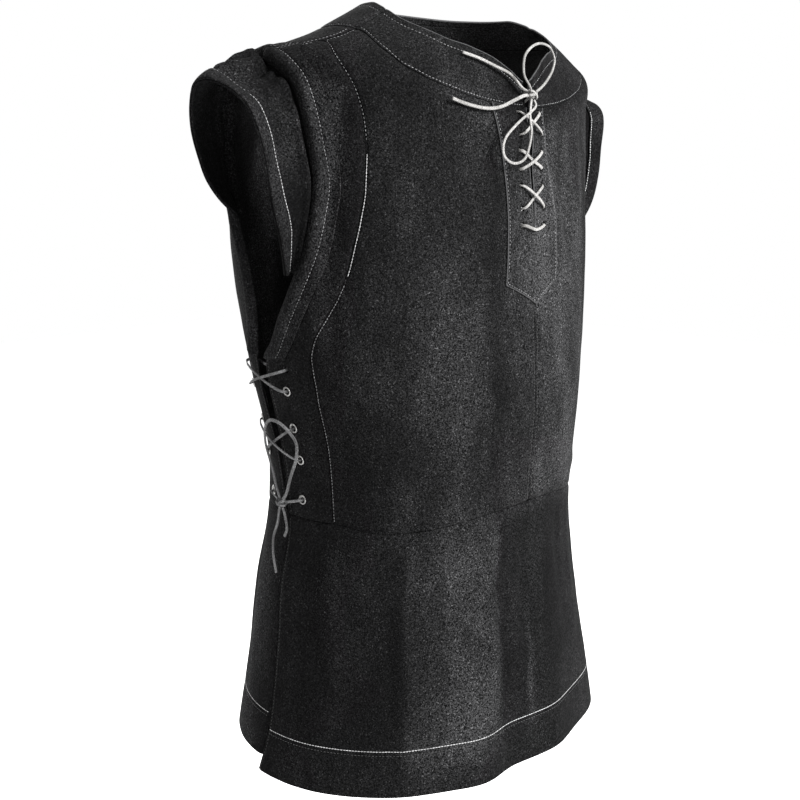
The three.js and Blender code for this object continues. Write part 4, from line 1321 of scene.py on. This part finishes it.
def thread_through(start, holes, end, outside, inside, bridges, first_inward):
    spots = [skin(angle, level, 0) for angle, level in holes]
    points = list(start)
    for k, hole in enumerate(holes):
        inward = (k % 2 == 0) == first_inward
        before = start[-1] if k == 0 else (bridges[k - 1][-1] if k - 1 in bridges else spots[k - 1])
        after = end[0] if k == len(holes) - 1 else (bridges[k][0] if k in bridges else spots[k + 1])
        points += pass_hole(hole, before, after, outside, inside, inward)
        if k in bridges and k < len(holes) - 1:
            points += bridges[k]
    return points + list(end)


def front_lace_points(knot):
    outside = 0.45 + suede_thickness + lace_radius + 0.6
    inside = -(2.0 + lace_radius + 0.7)
    over = outside + 2 * lace_radius + 0.7
    levels = slit_hole_levels

    def crossing(k, lift):
        return skin(0, (levels[k] + levels[k + 1]) / 2, lift)

    # side and number of each hole, in the order in which the lace passes them
    order = [(-1, 0), (1, 1), (1, 2), (-1, 3), (-1, 4), (1, 5), (1, 6),
             (-1, 6), (-1, 5), (1, 4), (1, 3), (-1, 2), (-1, 1), (1, 0)]
    holes = [(sign * slit_hole_angle(levels[k]), levels[k]) for sign, k in order]
    bridges = {0: [crossing(0, over)], 2: [crossing(2, over)], 4: [crossing(4, over)],
               6: [skin(0, levels[6] - 0.12, outside + 1.2)], 8: [crossing(4, outside - 0.3)],
               10: [crossing(2, outside - 0.3)], 12: [crossing(0, outside - 0.3)]}
    start = [leave_knot(knot, skin(-0.6, 10.28, 0)), skin(-0.6, 10.28, -1),
             skin(-1, 10.26, inside - 0.8), skin(-4, 10.2, inside)]
    end = [skin(4, 10.4, inside), skin(1, 10.46, inside - 0.8),
           skin(0.4, 10.5, -1), leave_knot(knot, skin(0.4, 10.5, 0))]
    return thread_through(start, holes, end, outside, inside, bridges, False)


def side_lace_points(sign, knot):
    outside = lace_radius + 2.3
    inside = -(2.0 + lace_radius + 1.9)
    over = outside + 2 * lace_radius + 0.7
    front = [(sign * a, u) for a, u in side_holes["front"]]
    back = [(sign * a, u) for a, u in side_holes["back"]]

    def crossing(k, lift):
        four = [front[k], back[k], front[k + 1], back[k + 1]]
        return skin(sum(a for a, u in four) / 4, sum(u for a, u in four) / 4, lift)

    holes = [front[4], front[3], back[2], back[1], front[0],
             back[0], front[1], front[2], back[3], back[4]]
    bridges = {1: [crossing(2, over)], 3: [crossing(0, over)], 4: [skin(sign * 98, 5.0, inside - 0.8)],
               5: [crossing(0, outside)], 7: [crossing(2, outside)]}
    start = [leave_knot(knot, skin(*front[4], outside))]
    end = [leave_knot(knot, skin(*back[4], outside))]
    return thread_through(start, holes, end, outside, inside, bridges, True)


front_knot = (np.array([-2.5, -121.0, -60.0]), body_normal(0, 10.3))
print("points of the front lace:", len(front_lace_points(front_knot)))

# %% [markdown]
# The free ends are short pieces that spring from the knot as the real ones do: two loops and two
# tails at the neck, one loop and two tails at each side. Their routes are listed points.

# %% Free ends
# width and thickness of the threaded thongs, then of the free ends
front_weave = (3.0, 1.3)
side_weave = (2.8, 1.2)
front_end_thickness = 1.5
side_end_width = 3.4
side_end_thickness = 1.3
# points along a span of a threaded thong and of a free end
weave_steps = 4
free_steps = 7
# angle, level and lift of the side knots
side_knot_spot = (96.1, 3.31, 7)
# far end, width and points
front_ends = {
    "front_lace_loop_upper": ("object", 2.4, [
        (-12, -125.5, -53), (-22, -126, -43), (-18, -123, -28), (-6, -120, -19), (10, -117, -13.5),
        (24, -115, -13), (35, -114, -16), (38.5, -116, -25), (32, -119, -35), (20, -122, -45),
        (8, -123.5, -53)]),
    "front_lace_loop_lower": ("object", 2.4, [
        (-1, -124.5, -69), (-12, -126.5, -76), (-25, -127.5, -82), (-38, -127.5, -90),
        (-48, -126.5, -99), (-51, -126, -107), (-49, -126, -115), (-42, -127.5, -120.5),
        (-33, -128.5, -121.5), (-22, -129, -117), (-16, -129.5, -105), (-13, -129, -92),
        (-13.5, -127.5, -81), (-9, -124.5, -69.5)]),
    "front_lace_tail_side": ("bare", 3.2, [
        (-14, -120.5, -61), (-27, -119.5, -65.5), (-46, -118, -72), (-63, -115, -73.5),
        (-86, -110.5, -70), (-100, -107.5, -66)]),
    "front_lace_tail_neck": ("bare", 2.9, [
        (-13, -117.5, -54), (-19, -116.5, -49), (-28, -114.5, -42), (-40, -109, -36.5),
        (-57, -102, -29.5), (-73, -96, -25)]),
}
# far end, then angle, level and lift of each point
side_ends = {
    "loop": ("object", [
        (93.2, 3.45, 8), (89.3, 3.75, 11), (86.1, 4.0, 12), (85.3, 4.21, 12), (87.3, 4.34, 12),
        (90.5, 4.43, 12), (94.5, 4.44, 12), (98.2, 4.31, 12), (99.8, 4.08, 12), (98.6, 3.9, 12),
        (97.8, 3.72, 11), (97.5, 3.58, 10), (97.3, 3.47, 8.5)]),
    "tail_long": ("bare", [
        (97.6, 3.19, 6), (98.8, 2.99, 5), (100.7, 2.74, 4.5), (99.2, 2.51, 4.5), (95.6, 2.26, 4.5)]),
    "tail_short": ("bare", [(94.7, 3.19, 6.5), (94.2, 3.08, 5.5), (93.8, 2.95, 4.5), (94.6, 2.83, 4.5)]),
}
laces = {}
cords = {}
side_knots = {}


def free_end(node, knot, points, width, thickness, far_end):
    route = loop_at_knot(knot, points) if far_end == "object" else from_knot(knot, points)
    cords[node] = (*make_thong(f"{node}_thong", route, width, thickness, free_steps), width, far_end)


front_route = front_lace_points(front_knot)
laces["front_lace"] = make_thong("front_lace_thong", front_route, *front_weave, weave_steps)[0]
for node, (far_end, width, points) in front_ends.items():
    free_end(node, front_knot, points, width, front_end_thickness, far_end)
for side, sign in sides.items():
    knot_angle, knot_level, knot_lift = side_knot_spot
    knot = (skin(sign * knot_angle, knot_level, knot_lift), body_normal(sign * knot_angle, knot_level))
    side_knots[side] = knot
    node = f"side_lace_{side}"
    laces[node] = make_thong(f"{node}_thong", side_lace_points(sign, knot), *side_weave, weave_steps)[0]
    for end, (far_end, spots) in side_ends.items():
        points = [skin(sign * angle, level, lift) for angle, level, lift in spots]
        free_end(f"{node}_{end}", knot, points, side_end_width, side_end_thickness, far_end)
print("free thongs, mm:", {name: round(made[2]) for name, made in cords.items()})

# %% [markdown]
# A tied knot is a lump of thong wound over itself. A small rounded core gives its bulk, and two
# short turns of thong cross over it.

# %% Knots
core_share = 0.86
wrap_weave = (2.7, 1.5)
# lean of the second turn past the first, and both turns' sizes
second_lean = 1.35
turn_sizes = (1.0, 0.93)


def make_knot(name, knot, lean):
    centre, normal = knot
    turn = Vector((0, 1, 0)).rotation_difference(Vector(normal)).to_matrix().to_4x4()
    bm = bmesh.new()
    core = Matrix.Translation(Vector(centre * MM)) @ turn
    core = core @ Matrix.Diagonal((*(knot_radii * MM * core_share), 1))
    bmesh.ops.create_icosphere(bm, subdivisions=3, radius=1, matrix=core)
    for vert in bm.verts:
        offset = vert.co / MM - Vector(centre)
        vert.co += offset * MM * 0.10 * noise.noise(offset * 0.6)
    for face in bm.faces:
        face.smooth = True
    for tilt, size in zip((lean, lean + second_lean), turn_sizes):
        wind = []
        for k in range(15):
            a = math.tau * k / 12 - 0.4
            local = Vector((math.cos(a) * 0.35 * knot_radii[0] * math.cos(tilt) + math.sin(a) * 0.2,
                            math.sin(a) * (knot_radii[1] + 0.7) * size,
                            math.cos(a) * (knot_radii[2] + 0.9) * size))
            local = Matrix.Rotation(tilt, 3, "Y") @ local
            wind.append(np.array(centre) + np.array(turn.to_3x3() @ local))
        wrap = make_thong("wrap", wind, *wrap_weave, weave_steps)[0]
        bm.from_mesh(wrap.data)
        bpy.data.objects.remove(wrap)
    return add_mesh(name, bm)


knots = {"front_lace_knot": make_knot("front_lace_knot_tied", front_knot, 0.5)}
for side in sides:
    knots[f"side_lace_{side}_knot"] = make_knot(f"side_lace_{side}_knot_tied", side_knots[side], 1.0)
print("knots:", len(knots))

# %% [markdown]
# Suede is split hide with a raised nap. Close up it is a fine dark fur, and from further off it is
# mottled, because the nap lies one way here and another way there. Both come from noise on Object
# coordinates. They are wanted in the suede and in the laces, so they are one node group with its
# own inputs. A second group draws the pale raw edge and the groove of a stitch line, which it reads
# from the distances kept in each panel.

# %% Node groups for the nap and for cut edges
def new_group(name, inputs, outputs):
    tree = bpy.data.node_groups.new(name, "ShaderNodeTree")
    for label, kind, value in inputs:
        tree.interface.new_socket(label, in_out="INPUT", socket_type=kind).default_value = value
    for label, kind in outputs:
        tree.interface.new_socket(label, in_out="OUTPUT", socket_type=kind)
    return tree, tree.nodes.new("NodeGroupInput"), tree.nodes.new("NodeGroupOutput")


def feed(tree, socket, value):
    if isinstance(value, (int, float, tuple)):
        socket.default_value = value
    elif value is not None:
        tree.links.new(value, socket)


def math_node(tree, operation, first, second=None, third=None, clamp=False):
    node = tree.nodes.new("ShaderNodeMath")
    node.operation = operation
    node.use_clamp = clamp
    for socket, value in zip(node.inputs, (first, second, third)):
        feed(tree, socket, value)
    return node.outputs[0]


def noise_node(tree, place, scale, detail, roughness=0.5):
    node = tree.nodes.new("ShaderNodeTexNoise")
    node.inputs["Detail"].default_value = detail
    node.inputs["Roughness"].default_value = roughness
    feed(tree, node.inputs["Vector"], place)
    feed(tree, node.inputs["Scale"], scale)
    return node.outputs["Fac"]


def stretch_node(tree, value, low, high, to_low=0.0, to_high=1.0):
    node = tree.nodes.new("ShaderNodeMapRange")
    node.interpolation_type = "SMOOTHSTEP"
    for label, number in zip(("From Min", "From Max", "To Min", "To Max"), (low, high, to_low, to_high)):
        feed(tree, node.inputs[label], number)
    feed(tree, node.inputs["Value"], value)
    return node.outputs["Result"]


def mix_node(tree, share, first, second):
    node = tree.nodes.new("ShaderNodeMix")
    node.data_type = "RGBA"
    feed(tree, node.inputs["Factor"], share)
    feed(tree, node.inputs[6], first)
    feed(tree, node.inputs[7], second)
    return node.outputs[2]


def build_nap_group():
    paint, amount = "NodeSocketColor", "NodeSocketFloat"
    inputs = [("Deep", paint, (0.02, 0.02, 0.02, 1)), ("Worn", paint, (0.05, 0.05, 0.05, 1)),
              ("Speck", paint, (0.1, 0.1, 0.1, 1)), ("Wear_And_Light", amount, 0.6),
              ("Patch Scale", amount, 15.0), ("Nap Scale", amount, 520.0),
              ("Grain Scale", amount, 840.0)]
    outputs = [("Color", paint), ("Roughness", amount), ("Height", amount)]
    tree, given, out = new_group("suede_nap", inputs, outputs)
    place = tree.nodes.new("ShaderNodeTexCoord").outputs["Object"]
    upright_place = tree.nodes.new("ShaderNodeMapping")
    upright_place.inputs["Scale"].default_value = (1, 1, 0.45)
    tree.links.new(place, upright_place.inputs["Vector"])
    patch = noise_node(tree, upright_place.outputs["Vector"], given.outputs["Patch Scale"], 5, 0.62)
    nap = noise_node(tree, place, given.outputs["Nap Scale"], 2, 0.5)
    grain = noise_node(tree, place, given.outputs["Grain Scale"], 2, 0.6)
    broad = stretch_node(tree, patch, 0.36, 0.68)
    close = stretch_node(tree, nap, 0.43, 0.63)
    fine = stretch_node(tree, grain, 0.46, 0.6)
    pale_tone = math_node(tree, "MULTIPLY_ADD", close, 0.5, math_node(tree, "MULTIPLY", fine, 1.05))
    spread = math_node(tree, "MULTIPLY_ADD", broad, 0.6, 0.28)
    # the piece's value, which holds worn nap and painted light and shade, widens or narrows the pale
    # tone
    wear_and_light = math_node(tree, "MULTIPLY_ADD", given.outputs["Wear_And_Light"], 1.15, 0.35)
    spread = math_node(tree, "MULTIPLY", spread, wear_and_light)
    pale_tone = math_node(tree, "MULTIPLY", pale_tone, spread, clamp=True)
    speck = stretch_node(tree, noise_node(tree, place, 620.0, 1), 0.64, 0.72)
    speck = math_node(tree, "MULTIPLY", speck, spread, clamp=True)
    color = mix_node(tree, pale_tone, given.outputs["Deep"], given.outputs["Worn"])
    color = mix_node(tree, speck, color, given.outputs["Speck"])
    tree.links.new(color, out.inputs["Color"])
    tree.links.new(math_node(tree, "MULTIPLY_ADD", close, -0.16, 0.92), out.inputs["Roughness"])
    height = math_node(tree, "MULTIPLY_ADD", grain, 0.35, math_node(tree, "MULTIPLY", nap, 0.65))
    tree.links.new(height, out.inputs["Height"])
    return tree


def build_cut_edge_group():
    outputs = [("Edge", "NodeSocketFloat"), ("Groove", "NodeSocketFloat")]
    tree, given, out = new_group("cut_edge", [("Edge Width", "NodeSocketFloat", 1.1)], outputs)
    place = tree.nodes.new("ShaderNodeTexCoord").outputs["Object"]
    rim = tree.nodes.new("ShaderNodeAttribute")
    rim.attribute_name = "rim"
    furrow = tree.nodes.new("ShaderNodeAttribute")
    furrow.attribute_name = "furrow"
    ragged = math_node(tree, "MULTIPLY_ADD", noise_node(tree, place, 320.0, 2), 1.2, rim.outputs["Fac"])
    share = math_node(tree, "DIVIDE", ragged, given.outputs["Edge Width"])
    tree.links.new(stretch_node(tree, share, 0.75, 1.5, 1.0, 0.0), out.inputs["Edge"])
    away = math_node(tree, "ABSOLUTE", furrow.outputs["Fac"])
    tree.links.new(stretch_node(tree, away, 0.2, 1.6, 1.0, 0.0), out.inputs["Groove"])
    return tree


nap_group = build_nap_group()
cut_edge_group = build_cut_edge_group()
print("groups:", nap_group.name, cut_edge_group.name)

# %% [markdown]
# The finishes put the groups to work. Body and trim are the same black suede, the trim a shade
# paler where hands wear it. The laces are paler splits of suede, the thread has a soft sheen from
# use, and the eyelets are nickel that has gone dull.

# %% Materials
suede_speck = (0.085, 0.085, 0.087)
suede_gloss = 0.04
lace_gloss = 0.15


def start_material(name):
    material = bpy.data.materials.new(name)
    material.use_nodes = True
    tree = material.node_tree
    return material, tree, tree.nodes["Principled BSDF"]


def place_group(tree, group, **values):
    node = tree.nodes.new("ShaderNodeGroup")
    node.node_tree = group
    for label, value in values.items():
        node.inputs[label.replace("_", " ")].default_value = value
    return node


def add_bump(tree, shader, height, strength, distance, before=None):
    bump = tree.nodes.new("ShaderNodeBump")
    bump.inputs["Strength"].default_value = strength
    bump.inputs["Distance"].default_value = distance
    tree.links.new(height, bump.inputs["Height"])
    if before is not None:
        tree.links.new(before, bump.inputs["Normal"])
    tree.links.new(bump.outputs["Normal"], shader.inputs["Normal"])
    return bump.outputs["Normal"]


def place_nap(tree, shader, deep, pale_tone, speck, **scales):
    nap = place_group(tree, nap_group, Deep=(*deep, 1), Worn=(*pale_tone, 1), Speck=(*speck, 1), **scales)
    # this attribute carries worn nap and painted light and shade into the colour
    wear_and_light = tree.nodes.new("ShaderNodeAttribute")
    wear_and_light.attribute_name = "wear_and_light"
    tree.links.new(wear_and_light.outputs["Fac"], nap.inputs["Wear_And_Light"])
    tree.links.new(nap.outputs["Roughness"], shader.inputs["Roughness"])
    return nap


def suede(name, deep, pale_tone, speck, edge):
    material, tree, shader = start_material(name)
    nap = place_nap(tree, shader, deep, pale_tone, speck)
    cut = place_group(tree, cut_edge_group)
    color = mix_node(tree, cut.outputs["Edge"], nap.outputs["Color"], (*edge, 1))
    tree.links.new(color, shader.inputs["Base Color"])
    shader.inputs["Specular IOR Level"].default_value = suede_gloss
    relief = add_bump(tree, shader, nap.outputs["Height"], 0.55, 0.0011)
    depth = math_node(tree, "MULTIPLY", cut.outputs["Groove"], -1.0)
    add_bump(tree, shader, depth, 0.8, 0.0006, relief)
    return material


def thong_leather(name, deep, pale_tone, speck):
    material, tree, shader = start_material(name)
    nap = place_nap(tree, shader, deep, pale_tone, speck,
                    Patch_Scale=60.0, Nap_Scale=900.0, Grain_Scale=2600.0)
    tree.links.new(nap.outputs["Color"], shader.inputs["Base Color"])
    shader.inputs["Specular IOR Level"].default_value = lace_gloss
    add_bump(tree, shader, nap.outputs["Height"], 0.6, 0.0006)
    return material


def mottled(name, first, second, patches, patch_reach, shine, shine_reach):
    material, tree, shader = start_material(name)
    place = tree.nodes.new("ShaderNodeTexCoord").outputs["Object"]
    share = stretch_node(tree, noise_node(tree, place, *patches), *patch_reach)
    tree.links.new(mix_node(tree, share, (*first, 1), (*second, 1)), shader.inputs["Base Color"])
    roughness = stretch_node(tree, noise_node(tree, place, *shine), 0.3, 0.7, *shine_reach)
    tree.links.new(roughness, shader.inputs["Roughness"])
    return material


def thread_finish(name, dark, light):
    return mottled(name, dark, light, (260.0, 2), (0.35, 0.65), (900.0, 1), (0.55, 0.8))


def nickel(name):
    bright, dull = (0.3, 0.296, 0.288), (0.14, 0.138, 0.135)
    material = mottled(name, bright, dull, (380.0, 3), (0.35, 0.7), (700.0, 2), (0.24, 0.42))
    material.node_tree.nodes["Principled BSDF"].inputs["Metallic"].default_value = 1.0
    return material


finishes = {
    "suede_body": suede("black_suede", (0.0004, 0.0004, 0.00045), (0.026, 0.026, 0.0267),
                        suede_speck, (0.035, 0.035, 0.036)),
    "suede_trim": suede("black_suede_trim", (0.0006, 0.0006, 0.00065), (0.03, 0.03, 0.0308),
                        suede_speck, (0.045, 0.045, 0.046)),
    "pale_thong": thong_leather("pale_lace", (0.075, 0.073, 0.07), (0.23, 0.226, 0.22),
                                (0.25, 0.245, 0.24)),
    "grey_thong": thong_leather("grey_lace", (0.03, 0.03, 0.0305), (0.15, 0.15, 0.152), (0.2, 0.2, 0.2)),
    "eyelet_metal": nickel("nickel"),
    "thread_grey": thread_finish("grey_thread", (0.035, 0.035, 0.036), (0.12, 0.12, 0.122)),
    "thread_dark": thread_finish("dark_thread", (0.006, 0.006, 0.006), (0.025, 0.025, 0.025)),
    "thread_tight": thread_finish("pale_thread", (0.16, 0.16, 0.16), (0.32, 0.32, 0.32)),
    "thread_long": thread_finish("soft_grey_thread", (0.06, 0.06, 0.061), (0.17, 0.17, 0.172)),
}
print("materials:", ", ".join(finishes))

# %% [markdown]
# Every piece is now given its finish and tied to the body, and the solid of the frame that it stands
# for is hidden.

# %% Finish each piece
trim_names = ("collar", "placket", "armhole_band", "cap_band")


def dress(obj, node, slot_name, finish=None):
    obj.data.materials.clear()
    obj.data.materials.append(finishes[finish or slot_name])
    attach(obj, "root")
    if node:
        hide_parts(node)


def lace_slot(node):
    return "pale_thong" if node.startswith("front") else "grey_thong"


wides, longs, areas = zip(*(sizes[f"placket_{side}_skin"] for side in sides))
sizes["placket_skin"] = (sum(wides), max(longs), sum(areas))
for node, obj in pieces.items():
    dress(obj, node, "suede_trim" if node.startswith(trim_names) else "suede_body")
for node, obj in eyelets.items():
    dress(obj, node, "eyelet_metal")
for node, obj in (*laces.items(), *knots.items()):
    dress(obj, node, lace_slot(node))
for node, (obj, path, length, width, far_end) in cords.items():
    dress(obj, node, lace_slot(node))
for kind, obj in topstitching.items():
    dress(obj, None, "suede_trim" if kind == "dark" else "pale_thong", f"thread_{kind}")
dressed = (pieces, eyelets, laces, knots, cords, topstitching)
print("pieces dressed:", sum(len(group) for group in dressed))
